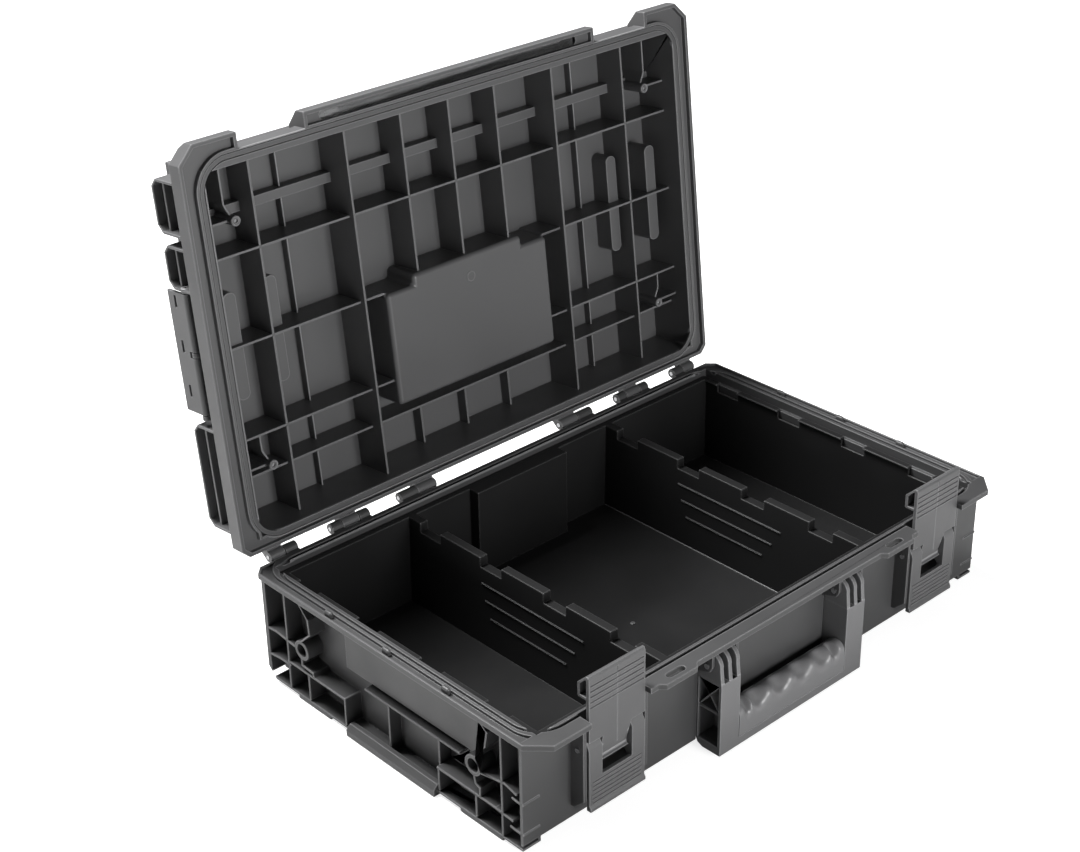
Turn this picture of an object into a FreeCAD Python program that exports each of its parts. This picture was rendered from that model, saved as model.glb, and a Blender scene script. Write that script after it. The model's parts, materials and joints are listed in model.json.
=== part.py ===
import FreeCAD, Part
import os
from types import SimpleNamespace

import Sketcher

# Hard tool case with a hinged lid, two draw latches, a folding handle, an organizer insert
# and two stacking clips. X runs along the width, the front is at -Y and the case stands on
# Z = 0. It is drawn open, as it stands on a bench.

# Driving sizes in millimetres; angles in degrees
SIZES = {
    # Base tub
    "wall": 2.5,
    "tub_half_width": 273.0,
    "tub_front": 172.5,
    "tub_back": 158.0,
    "tub_bottom": 8.0,
    "front_panel_setback": 1.9,
    # Rim flange round the top of the base
    "flange_side_reach": 18.8,
    "flange_front_reach": 21.1,
    "flange_back_reach": 11.0,
    "flange_top": 108.6,
    "flange_thickness": 5.3,
    "flange_corner": 17.4,
    "flange_back_corner": 8.0,
    "step_depth": 9.0,
    "step_width": 4.0,
    "step_wall": 2.5,
    "flange_lip": 2.0,
    "flange_recess_width": 6.2,
    "flange_recess_depth": 2.6,
    "seal_groove_inset": 10.4,
    "seal_groove_front_inset": 13.5,
    "seal_groove_width": 3.2,
    "seal_groove_depth": 2.6,
    "seal_radius": 30.0,
    "bottom_pad_half_width": 150.0,
    "bottom_pad_half_depth": 45.0,
    # Ribs of the two ends
    "end_rib": 2.2,
    "end_panel_depth": 7.0,
    "end_shelf_depth": 12.0,
    "ring_radius": 9.5,
    "ring_bore": 6.2,
    "foot_height": 3.0,
    "rail_reach": 4.2,
    "rail_height": 10.5,
    "rail_thickness": 9.0,
    "end_corner": 12.0,
    # Organizer insert
    "tray_gap": 1.2,
    "tray_wall": 2.2,
    "tray_seat_gap": 0.3,
    "tray_drop": 6.6,
    "tray_front_room": 8.0,
    "tray_ledge": 2.4,
    "divider_place": 126.0,
    "divider_width": 9.0,
    "divider_foot_width": 13.0,
    "divider_skin": 1.8,
    "notch_depth": 9.5,
    "notch_length": 27.5,
    "notch_pitch": 81.5,
    "bump_half_width": 57.0,
    "bump_depth": 12.0,
    "divider_ridge": 0.9,
    # Padlock tabs
    "tab_latch_setback": 63.0,
    "tab_half_width": 17.5,
    "tab_reach": 4.8,
    "padlock_slot_length": 20.0,
    "padlock_slot_width": 6.2,
    "padlock_slot_setback": 3.0,
    # Draw latches
    "latch_side_setback": 70.7,
    "latch_half_width": 30.8,
    "latch_reach": 16.1,
    "latch_room": 1.4,
    "latch_ear": 3.4,
    "latch_ear_setback": 1.6,
    "latch_ear_bottom": 20.0,
    "latch_pin_setback": 8.0,
    "latch_pin_drop": 30.6,
    "latch_pin_radius": 2.0,
    "latch_pin_head": 1.0,
    "link_pin_setback": 7.4,
    "link_pin_drop": 16.0,
    "link_pin_radius": 1.6,
    "pin_play": 0.05,
    "lever_bottom": 19.2,
    "lever_rise": 7.0,
    "lever_skin": 3.4,
    "lever_depth": 12.6,
    "lever_cheek": 14.5,
    "lever_shoulder": 7.5,
    "lever_window_low": 50.0,
    "lever_lip": 2.6,
    "hook_rise": 37.7,
    "hook_skin": 3.4,
    "hook_bottom_drop": 2.4,
    "hook_reach": 9.6,
    "hook_mouth_rise": 15.9,
    "hook_slope": 8.8,
    "hook_wall": 2.4,
    "hook_knuckle": 4.4,
    "grip_groove": 1.1,
    "hook_groove_pitch": 5.0,
    "lever_groove_pitch": 4.0,
    "boss_radius": 6.0,
    # Carrying handle
    "handle_inner": 68.6,
    "handle_outer": 92.2,
    "handle_reach": 25.7,
    "handle_inset": 2.2,
    "handle_bottom": 2.9,
    "handle_shoulder": 74.7,
    "handle_pin_reach": 12.9,
    "handle_pin_z": 90.0,
    "handle_pin_radius": 2.4,
    "handle_hub": 11.0,
    "handle_hub_rib": 4.2,
    "handle_skin": 2.8,
    "handle_ear": 3.0,
    "handle_ear_gap": 1.0,
    "handle_bar": 8.4,
    "handle_recess": 3.0,
    "grip_gap": 0.5,
    "grip_panel_top": 33.0,
    "grip_clearance": 3.5,
    "grip_top": 41.0,
    # Hinge
    "hinge_reach": 7.3,
    "hinge_rise": 0.15,
    "hinge_pin_radius": 2.0,
    "hinge_knuckle": 5.0,
    "hinge_gap": 0.5,
    "hinge_first": 80.0,
    "hinge_end_setback": 3.0,
    "lid_open_angle": 96.1,
    # Lid, drawn closed and then swung open
    "lid_seat_gap": 0.5,
    "lid_side_overhang": 2.5,
    "lid_front_overhang": 5.2,
    "lid_back_overhang": 0.4,
    "lid_height": 53.5,
    "lid_roof": 3.0,
    "lid_corner": 15.1,
    "lid_wall": 2.5,
    "lid_side_setback": 1.0,
    "lid_inner_reach": 0.1,
    "lid_back_setback": 2.6,
    "lid_skirt": 2.8,
    "lid_skirt_height": 14.9,
    "lid_rim_plate": 7.0,
    "lid_rim_band": 3.6,
    "lid_rim_groove_depth": 4.6,
    "lid_ridge_inset": 12.4,
    "lid_slot_width": 8.0,
    "lid_front_rise": 11.0,
    "lid_front_slope": 13.0,
    "lid_rise_hole": 5.0,
    "lid_gap_depth": 14.2,
    "lid_gap_half_width": 33.7,
    "lid_rib": 2.2,
    "lid_rib_deep": 38.9,
    "lid_rib_middle": 33.0,
    "lid_rib_shallow": 12.0,
    "lid_rib_place": 121.7,
    "lid_box_half_width": 97.2,
    "lid_box_neck": 66.0,
    "lid_box_shoulder": 11.6,
    "lid_box_front": 21.6,
    "lid_box_back": 96.4,
    "lid_box_rise": 11.9,
    "lid_boss_setback": 30.4,
    "lid_boss_radius": 4.6,
    "lid_boss_bore": 1.7,
    "lid_bar_setback": 48.0,
    "lid_bar": 9.0,
    "lid_block_wall": 2.4,
    "lid_block_corner": 7.0,
    "gasket_inset": 15.5,
    "gasket_width": 5.0,
    "gasket_height": 2.2,
    "gasket_play": 0.3,
    "lid_bump_first_setback": 72.5,
    "lid_bump_second_setback": 25.5,
    "lid_bump_width": 13.0,
    "lid_bump_front": 60.0,
    "lid_bump_back": 38.0,
    "lid_bump_depth": 20.6,
    "lid_bump_second_depth": 27.6,
    # Stacking clips on the lid's ends
    "clip_front": 75.6,
    "clip_back": 44.5,
    "clip_pin_rise": 27.3,
    "clip_pin_setback": 3.7,
    "clip_pin_radius": 1.5,
    "clip_barrel": 3.4,
    "clip_panel": 2.8,
    "clip_top_drop": 2.4,
    "clip_catch": 4.0,
    "clip_lug": 4.6,
    "clip_gap": 0.5,
    "clip_slot_length": 11.0,
    "clip_slot_width": 3.0,
    "clip_slot_drop": 10.4,
    "cut_overrun": 2.0,
}


class Size:
    """A length together with the sheet expression that gives it."""

    def __init__(self, value, text):
        self.value = value
        self.text = text

    def __add__(self, other):
        other = sized(other)
        return Size(self.value + other.value, f"({self.text} + {other.text})")

    def __radd__(self, other):
        return sized(other) + self

    def __sub__(self, other):
        other = sized(other)
        return Size(self.value - other.value, f"({self.text} - {other.text})")

    def __rsub__(self, other):
        return sized(other) - self

    def __mul__(self, share):
        return Size(self.value * share, f"({self.text} * {share})")

    def __rmul__(self, share):
        return self * share

    def __truediv__(self, share):
        return Size(self.value / share, f"({self.text} / {share})")

    def __neg__(self):
        return Size(-self.value, f"(0 - {self.text})")


def sized(value):
    return value if isinstance(value, Size) else Size(value, str(value))


doc = FreeCAD.newDocument("hard_tool_case")
sheet = doc.addObject("Spreadsheet::Sheet", "Sizes")
for row, (word, number) in enumerate(SIZES.items(), start=1):
    sheet.set(f"A{row}", word)
    sheet.set(f"B{row}", str(number))
    sheet.setAlias(f"B{row}", word)
doc.recompute()
s = SimpleNamespace(**{word: Size(number, f"Sizes.{word}") for word, number in SIZES.items()})

# Sizes that follow others, so that the pieces keep together
s.lid_low_face = s.flange_top + s.lid_seat_gap
s.flange_half_width = s.tub_half_width + s.flange_side_reach
s.front_panel_half_width = s.flange_half_width - s.front_panel_setback
s.flange_front = s.tub_front + s.flange_front_reach
s.flange_back = s.tub_back + s.flange_back_reach
s.tray_top = s.flange_top - s.tray_drop
s.tray_front_inner = s.tub_front - s.tray_front_room
s.latch_place = s.tub_half_width - s.latch_side_setback
s.tab_place = s.latch_place - s.tab_latch_setback
s.tab_front = s.flange_front + s.tab_reach
s.padlock_slot_place = s.flange_front - s.padlock_slot_setback
s.latch_front = s.tub_front + s.latch_reach
s.latch_ear_front = s.latch_front - s.latch_ear_setback
s.latch_pin_y = s.latch_front - s.latch_pin_setback
s.latch_pin_z = s.flange_top - s.latch_pin_drop
s.link_pin_y = s.latch_front - s.link_pin_setback
s.link_pin_z = s.latch_pin_z - s.link_pin_drop
s.lever_top = s.latch_pin_z + s.lever_rise
s.hook_bottom = s.latch_pin_z - s.hook_bottom_drop
s.hook_top = s.lid_low_face + s.hook_rise
s.hook_mouth = s.lid_low_face + s.hook_mouth_rise
s.handle_front = s.tub_front + s.handle_reach
s.handle_back = s.tub_front - s.handle_inset
s.handle_pin_y = s.tub_front + s.handle_pin_reach
s.grip_back = s.tub_front + s.grip_clearance
s.hinge_y = s.flange_back + s.hinge_reach
s.hinge_z = s.flange_top + s.hinge_rise
s.hinge_last = s.tub_half_width - s.hinge_end_setback
s.lid_half_width = s.flange_half_width + s.lid_side_overhang
s.lid_front = s.flange_front + s.lid_front_overhang
s.lid_back = s.flange_back + s.lid_back_overhang
s.lid_top = s.lid_low_face + s.lid_height
s.lid_inner_half_width = s.tub_half_width - s.lid_side_setback
s.lid_inner_front = s.tub_front + s.lid_inner_reach
s.lid_inner_back = s.tub_back - s.lid_back_setback
s.lid_gap_front = s.lid_front - s.lid_gap_depth
s.lid_box_low = s.lid_low_face + s.lid_box_rise
s.lid_bar_place = s.lid_inner_front - s.lid_bar_setback
s.lid_boss_place = s.lid_inner_half_width - s.lid_boss_setback
s.lid_bump_first = s.lid_inner_half_width - s.lid_bump_first_setback
s.lid_bump_second = s.lid_inner_half_width - s.lid_bump_second_setback
s.clip_pin_reach = s.lid_half_width - s.clip_pin_setback
s.clip_pin_z = s.lid_low_face + s.clip_pin_rise
s.clip_top = s.lid_top - s.clip_top_drop
s.clip_slot_place = s.clip_top - s.clip_slot_drop
s.lid_gap_inner = s.latch_place - s.lid_gap_half_width
s.lid_gap_outer = s.latch_place + s.lid_gap_half_width


def bind(item, prop, size):
    item.setExpression(prop, sized(size).text)


def place(item, x, y, z):
    bind(item, "Placement.Base.x", x)
    bind(item, "Placement.Base.y", y)
    bind(item, "Placement.Base.z", z)


def block(name, x0, x1, y0, y1, z0, z1):
    box = doc.addObject("Part::Box", name)
    bind(box, "Length", sized(x1) - x0)
    bind(box, "Width", sized(y1) - y0)
    bind(box, "Height", sized(z1) - z0)
    place(box, x0, y0, z0)
    return box


# Rotations that lay a cylinder along each axis
ALONG = {
    "X": FreeCAD.Rotation(FreeCAD.Vector(0, 1, 0), 90),
    "Y": FreeCAD.Rotation(FreeCAD.Vector(1, 0, 0), -90),
    "Z": FreeCAD.Rotation(),
}


def rod(name, axis, start, end, first, second, radius):
    """A cylinder along an axis; first and second are its centre on the other two axes."""
    item = doc.addObject("Part::Cylinder", name)
    item.Placement = FreeCAD.Placement(FreeCAD.Vector(), ALONG[axis])
    bind(item, "Radius", radius)
    bind(item, "Height", sized(end) - start)
    spots = {"X": (start, first, second), "Y": (first, start, second), "Z": (first, second, start)}
    place(item, *spots[axis])
    return item


PLANES = {"XY": "XY_Plane", "XZ": "XZ_Plane", "YZ": "YZ_Plane"}


def outline_sketch(body, name, plane, points, offset):
    """A closed outline whose corners are all held by expressions on the sheet."""
    sketch = body.newObject("Sketcher::SketchObject", name)
    origin = [item for item in body.Origin.OriginFeatures if item.Role == PLANES[plane]][0]
    sketch.AttachmentSupport = [(origin, "")]
    sketch.MapMode = "FlatFace"
    bind(sketch, "AttachmentOffset.Base.z", offset)
    corners = [FreeCAD.Vector(sized(u).value, sized(v).value, 0) for u, v in points]
    count = len(corners)
    for index, corner in enumerate(corners):
        sketch.addGeometry(Part.LineSegment(corner, corners[(index + 1) % count]), False)
    for index in range(count):
        following = (index + 1) % count
        sketch.addConstraint(Sketcher.Constraint("Coincident", index, 2, following, 1))
    for index, (u, v) in enumerate(points):
        for kind, size in (("DistanceX", sized(u)), ("DistanceY", sized(v))):
            number = sketch.addConstraint(Sketcher.Constraint(kind, -1, 1, index, 1, size.value))
            sketch.setExpression(f"Constraints[{number}]", size.text)
    return sketch


def prism(name, plane, points, start, end):
    """A padded outline from start to end along the plane's own axis."""
    body = doc.addObject("PartDesign::Body", name)
    offset = -sized(end) if plane == "XZ" else sized(start)
    sketch = outline_sketch(body, name + "_outline", plane, points, offset)
    pad = body.newObject("PartDesign::Pad", name + "_pad")
    pad.Profile = sketch
    bind(pad, "Length", sized(end) - start)
    body.Tip = pad
    return body


def rounded_plate(name, x0, x1, y0, y1, z0, z1, radius):
    """A rectangular plate whose upright edges are rounded."""
    body = prism(name, "XY", [(x0, y0), (x1, y0), (x1, y1), (x0, y1)], z0, z1)
    doc.recompute()
    pad = body.Tip
    upright = [f"Edge{index}" for index, edge in enumerate(pad.Shape.Edges, start=1)
               if abs(edge.tangentAt(edge.FirstParameter).z) > 0.99]
    fillet = body.newObject("PartDesign::Fillet", name + "_fillet")
    fillet.Base = (pad, upright)
    bind(fillet, "Radius", radius)
    body.Tip = fillet
    return body


def joined(name, items):
    if len(items) == 1:
        return items[0]
    fuse = doc.addObject("Part::MultiFuse", name)
    fuse.Shapes = items
    return fuse


def cut(name, base, tools):
    item = doc.addObject("Part::Cut", name)
    item.Base = base
    item.Tool = joined(name + "_tools", tools)
    return item


def mirrored(name, item):
    other = doc.addObject("Part::Mirroring", name)
    other.Source = item
    other.Normal = FreeCAD.Vector(1, 0, 0)
    return other


def both(name, item):
    """The item with its mirror image on the other side of the middle plane."""
    return [item, mirrored(name + "_mirror", item)]


def frame_ring(name, x, front, back, low, high, radius, width):
    """A flat ring with rounded corners; x, front and back are its outer edges."""
    outer = rounded_plate(name + "_outer", -x, x, -front, back, low, high, radius)
    inner = rounded_plate(name + "_inner", -(x - width), x - width, -(front - width), back - width,
                          low - s.cut_overrun, high + s.cut_overrun, radius - width)
    return cut(name, outer, [inner])


NODES = []


def finished(label, item):
    item.Label = label
    NODES.append(item)
    return item


# Closed-lid pieces are swung back about the hinge pin
def opened(label, item):
    group = doc.addObject("Part::Compound", "open_" + label)
    group.Links = [item]
    angle = FreeCAD.Rotation(FreeCAD.Vector(1, 0, 0), -SIZES["lid_open_angle"])
    group.Placement = FreeCAD.Placement(FreeCAD.Vector(), angle)
    bind(group, "Placement.Rotation.Angle", "0 - " + s.lid_open_angle.text)
    turn = s.lid_open_angle.text
    y, z = s.hinge_y.text, s.hinge_z.text
    group.setExpression("Placement.Base.y", f"{y} - {y} * cos({turn}) - {z} * sin({turn})")
    group.setExpression("Placement.Base.z", f"{z} + {y} * sin({turn}) - {z} * cos({turn})")
    return finished(label, group)


over = s.cut_overrun
flange_low = s.flange_top - s.flange_thickness
tub_inner = s.tub_half_width - s.wall
step_floor = s.flange_top - s.step_depth
step_low = step_floor - s.step_wall
step_half_width = tub_inner + s.step_width
step_front = s.tub_front - s.wall + s.step_width
step_back = s.tub_back - s.wall + s.step_width
end_reach = s.front_panel_half_width


def tub_y(share):
    """A place along the depth of the tub, from its front at 0 to its back at 1."""
    return -s.tub_front + (s.tub_front + s.tub_back) * share


def tub_z(share):
    """A height as a share of the flange's."""
    return s.flange_top * share


# How much a slanted corner shortens as its outline is drawn in
INSET_CORNER_SHARE = 0.586


# Base: tub and flange
def flange_outline(inset):
    """The flange's outline seen from above, drawn in by an inset."""
    corner = s.flange_corner - inset * INSET_CORNER_SHARE
    back_corner = s.flange_back_corner - inset * INSET_CORNER_SHARE
    x = s.flange_half_width - inset
    front = -s.flange_front + inset
    back = s.flange_back - inset
    return [(-x + corner, front), (x - corner, front), (x, front + corner),
            (x, back - back_corner), (x - back_corner, back), (-x + back_corner, back),
            (-x, back - back_corner), (-x, front + corner)]


def flange_recess():
    """The shallow recess of the flange's sides, between the lip and the seal's ridge."""
    low = s.flange_top - s.flange_recess_depth
    high = s.flange_top + over
    room = prism("flange_recess", "XY", flange_outline(s.flange_lip), low, high)
    inset = s.flange_lip + s.flange_recess_width
    x = s.flange_half_width - inset
    keep = rounded_plate("flange_ridge", -x, x, -s.flange_front + inset, s.flange_back + over,
                         low - over, high + over, s.seal_radius)
    front = block("flange_front_keep", -s.flange_half_width, s.flange_half_width,
                  -s.tab_front - over, -s.tub_front, low - over, high + over)
    return cut("flange_recess_room", room, [keep, front])


def padlock_tab():
    near = s.tab_place - s.tab_half_width
    far = s.tab_place + s.tab_half_width
    slope = s.tab_front - s.flange_front
    outline = [(near - slope, -s.flange_front), (near, -s.tab_front), (far, -s.tab_front),
               (far + slope, -s.flange_front), (far, -s.flange_front + slope),
               (near, -s.flange_front + slope)]
    return prism("padlock_tab", "XY", outline, flange_low, s.flange_top)


def padlock_slot(low, high, width):
    half = s.padlock_slot_length / 2
    radius = width / 2
    y = -s.padlock_slot_place
    middle = block("slot_middle", s.tab_place - half + radius, s.tab_place + half - radius,
                   y - radius, y + radius, low, high)
    ends = [rod("slot_end", "Z", low, high, x, y, radius)
            for x in (s.tab_place - half + radius, s.tab_place + half - radius)]
    return joined("padlock_slot", [middle] + ends)


# Upright ribs of an end: place along the depth, lowest and highest point, as shares
END_UPRIGHT_SHARES = ((0.909, 0.0, 0.96), (0.071, 0.0, 0.96), (0.673, 0.03, 0.31),
                      (0.8245, 0.03, 0.31), (0.304, 0.03, 0.27), (0.165, 0.03, 0.27))
# Level ribs of an end: first and last place along the depth, and height, as shares
END_LEVEL_SHARES = ((0.673, 0.915, 0.30), (0.094, 0.31, 0.26))
# Bent ribs of an end: corners as places along the depth and heights
END_BENT_SHARES = (
    ((0.85, 0.955), (0.811, 0.83), (0.807, 0.70), (0.849, 0.575)),
    ((1.0, 0.505), (0.958, 0.517), (0.88, 0.493)),
    ((1.0, 0.25), (0.95, 0.27), (0.905, 0.27)),
    ((0.85, 0.42), (0.85, 0.354), (0.805, 0.34), (0.80, 0.30)),
    ((0.148, 0.955), (0.119, 0.89), (0.128, 0.75), (0.165, 0.595)),
    ((0.145, 0.487), (0.094, 0.519), (0.062, 0.536), (0.021, 0.507)),
    ((0.036, 0.454), (0.0, 0.446)),
    ((0.094, 0.258), (0.036, 0.246)),
    ((0.044, 0.185), (0.0, 0.177)),
    ((0.17, 0.43), (0.165, 0.36), (0.15, 0.34), (0.15, 0.26)),
)
# Bolt rings of an end: place along the depth and height
END_RING_SHARES = ((0.847, 0.497), (0.1725, 0.511))
# Outline of an end's smooth panel
END_PANEL_SHARES = ((0.148, 0.97), (0.119, 0.89), (0.128, 0.75), (0.165, 0.595), (0.2, 0.53),
                    (0.694, 0.53), (0.694, 0.97))
END_SHELF_SHARES = (0.238, 0.604, 0.483)
END_SHELF_RIB_SHARES = (0.316, 0.51)
FOOT_SHARES = ((0.739, 0.876), (0.071, 0.2254))
RAIL_SHARES = (0.31, 0.658)


def bent_rib(points, start, end):
    """A rib of even thickness that follows corners given as places and heights."""
    half = s.end_rib / 2
    corners = [(tub_y(y), tub_z(z)) for y, z in points]
    runs = []
    for (y0, z0), (y1, z1) in zip(corners, corners[1:]):
        if abs(z1.value - z0.value) > abs(y1.value - y0.value):
            run = [(y0 - half, z0), (y0 + half, z0), (y1 + half, z1), (y1 - half, z1)]
        else:
            run = [(y0, z0 - half), (y0, z0 + half), (y1, z1 + half), (y1, z1 - half)]
        runs.append(prism("bent_rib", "YZ", run, start, end))
        runs.append(rod("bent_rib_corner", "X", start, end, y1, z1, half))
    return runs


def end_ribs():
    """The ribs, panel, rings and feet of the right end."""
    inner = s.tub_half_width - s.wall / 2
    half = s.end_rib / 2
    items = [block("end_back", inner, end_reach, s.tub_back - s.wall, s.tub_back + s.end_rib,
                   s.foot_height, flange_low + half),
             block("end_floor", inner, end_reach, -s.tub_front, s.tub_back,
                   s.foot_height, s.foot_height + s.end_rib),
             block("end_tub_skirt", s.tub_half_width - s.wall, s.tub_half_width, -s.tub_front,
                   s.tub_back, s.foot_height, s.tub_bottom + s.wall)]
    for share, low, high in END_UPRIGHT_SHARES:
        y = tub_y(share)
        items.append(block("end_upright", inner, end_reach, y - half, y + half,
                           s.foot_height + tub_z(low), tub_z(high)))
    for first, last, height in END_LEVEL_SHARES:
        z = tub_z(height)
        items.append(block("end_level", inner, end_reach, tub_y(first), tub_y(last),
                           z - half, z + half))
    for points in END_BENT_SHARES:
        items += bent_rib(points, inner, end_reach)
    panel = [(tub_y(share), tub_z(height)) for share, height in END_PANEL_SHARES]
    items.append(prism("end_panel", "YZ", panel, inner, s.tub_half_width + s.end_panel_depth))
    first, last, height = END_SHELF_SHARES
    items.append(block("end_shelf", inner, s.tub_half_width + s.end_shelf_depth, tub_y(first),
                       tub_y(last), tub_z(height) - half, tub_z(height) + half))
    for share in END_SHELF_RIB_SHARES:
        items.append(block("end_shelf_rib", inner, s.tub_half_width + s.end_shelf_depth,
                           tub_y(share) - half, tub_y(share) + half, s.foot_height, tub_z(height)))
    for share, height in END_RING_SHARES:
        items.append(rod("end_ring", "X", inner, end_reach, tub_y(share), tub_z(height),
                         s.ring_radius))
    for first, last in FOOT_SHARES:
        items.append(block("foot", inner, end_reach, tub_y(first), tub_y(last), 0,
                           s.foot_height + half))
    first, last = RAIL_SHARES
    rail_outer = end_reach + s.rail_reach
    rail_inner = rail_outer - s.rail_thickness
    slope = s.rail_thickness / 2
    rail = [(rail_inner, 0), (rail_outer, 0), (rail_outer, s.rail_height - slope),
            (rail_outer - slope, s.rail_height), (rail_inner, s.rail_height)]
    items.append(prism("rail", "XZ", rail, tub_y(first), tub_y(last)))
    bores = [rod("ring_bore", "X", s.tub_half_width, end_reach + over, tub_y(share), tub_z(height),
                 s.ring_bore) for share, height in END_RING_SHARES]
    back = s.tub_back + s.end_rib + over
    corner = [(back - s.end_corner - over, s.foot_height - over), (back, s.foot_height - over),
              (back, s.foot_height + s.end_corner)]
    bores.append(prism("end_corner", "YZ", corner, s.tub_half_width, end_reach + over))
    return cut("end_frame", joined("end_frame_parts", items), bores)


# Shares of an ear's thickness and of the window boss's radius
EAR_SLOPE_SHARE = 3
BOSS_HALF_LENGTH_SHARE = 1.6
BOSS_ROUND_SHARE = 0.45


def latch_ears():
    """The two ears that hold the right latch's base pin, with the boss behind its window."""
    near = s.latch_half_width + s.latch_room
    outline = [(-s.tub_front + s.wall / 2, flange_low + s.end_rib / 2),
               (-s.latch_ear_front, flange_low + s.end_rib / 2),
               (-s.latch_ear_front, s.latch_ear_bottom + s.latch_ear * EAR_SLOPE_SHARE),
               (-s.tub_front - s.latch_ear, s.latch_ear_bottom),
               (-s.tub_front + s.wall / 2, s.latch_ear_bottom)]
    first = s.latch_place - near - s.latch_ear
    second = s.latch_place + near
    ears = [prism("latch_ear", "YZ", outline, x, x + s.latch_ear) for x in (first, second)]
    boss_half = s.boss_radius * BOSS_HALF_LENGTH_SHARE
    boss = rod("window_boss", "X", s.latch_place - boss_half, s.latch_place + boss_half,
               -s.tub_front, s.lever_window_low + s.boss_radius / 2,
               s.boss_radius * BOSS_ROUND_SHARE)
    return ears + [boss]


def handle_ears():
    """The ears on both sides of the right handle arm, rounded round the pin."""
    top = s.handle_pin_z + s.handle_hub
    items = []
    for x in (s.handle_inner - s.handle_ear_gap - s.handle_ear, s.handle_outer + s.handle_ear_gap):
        outline = [(-s.tub_front + s.wall / 2, s.handle_pin_z - s.handle_hub),
                   (-s.handle_pin_y - s.handle_pin_radius, s.handle_pin_z - s.handle_hub / 2),
                   (-s.handle_pin_y - s.handle_hub / 2, s.handle_pin_z),
                   (-s.handle_pin_y - s.handle_hub / 2, top + s.wall),
                   (-s.tub_front + s.wall / 2, top + s.wall)]
        items.append(prism("handle_ear", "YZ", outline, x, x + s.handle_ear))
    return items


def arm_recess():
    """The set-back strip of the front wall behind the right arm."""
    x0 = s.handle_inner - s.handle_ear_gap
    x1 = s.handle_outer + s.handle_ear_gap
    room = block("arm_recess", x0, x1, -s.tub_front - over, -s.tub_front + s.handle_recess,
                 s.foot_height, step_low - s.wall)
    back = block("arm_recess_wall", x0 - s.wall, x1 + s.wall, -s.tub_front,
                 -s.tub_front + s.handle_recess + s.wall, s.tub_bottom, step_low)
    return room, back


# Hinge blocks of one side, as first and last share of the pin's length, nearest the middle first;
# each piece of a block belongs to the base or to the lid in turn
HINGE_BASE_SHARES = ((0.12, 0.226), (0.416, 0.48), (0.58, 0.642), (0.842, 0.915))
HINGE_LID_SHARES = ((0.0, 0.12), (0.48, 0.58), (0.915, 1.0))
HINGE_BLOCK_SHARES = ((0.0, 0.226), (0.416, 0.642), (0.842, 1.0))


def hinge_x(share):
    return s.hinge_first + (s.hinge_last - s.hinge_first) * share


def base_knuckles():
    items = []
    for first, last in HINGE_BASE_SHARES:
        x0 = hinge_x(first) + s.hinge_gap / 2
        x1 = hinge_x(last) - s.hinge_gap / 2
        items.append(rod("base_knuckle", "X", x0, x1, s.hinge_y, s.hinge_z, s.hinge_knuckle))
        web = [(s.flange_back - s.wall, flange_low), (s.flange_back - s.wall, s.flange_top),
               (s.hinge_y, s.flange_top), (s.hinge_y, s.hinge_z - s.hinge_knuckle)]
        items.append(prism("base_knuckle_web", "YZ", web, x0, x1))
    return items


def hinge_bore(name):
    return rod(name, "X", s.hinge_first - over, s.hinge_last + over, s.hinge_y, s.hinge_z,
               s.hinge_pin_radius + s.pin_play)


def bottom_pad():
    """The raised field under the middle of the tub, which carries it on a bench."""
    x = s.bottom_pad_half_width
    y = s.bottom_pad_half_depth
    return rounded_plate("bottom_pad", -x, x, -y, y, 0, s.tub_bottom + s.wall / 2, s.flange_corner)


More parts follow.
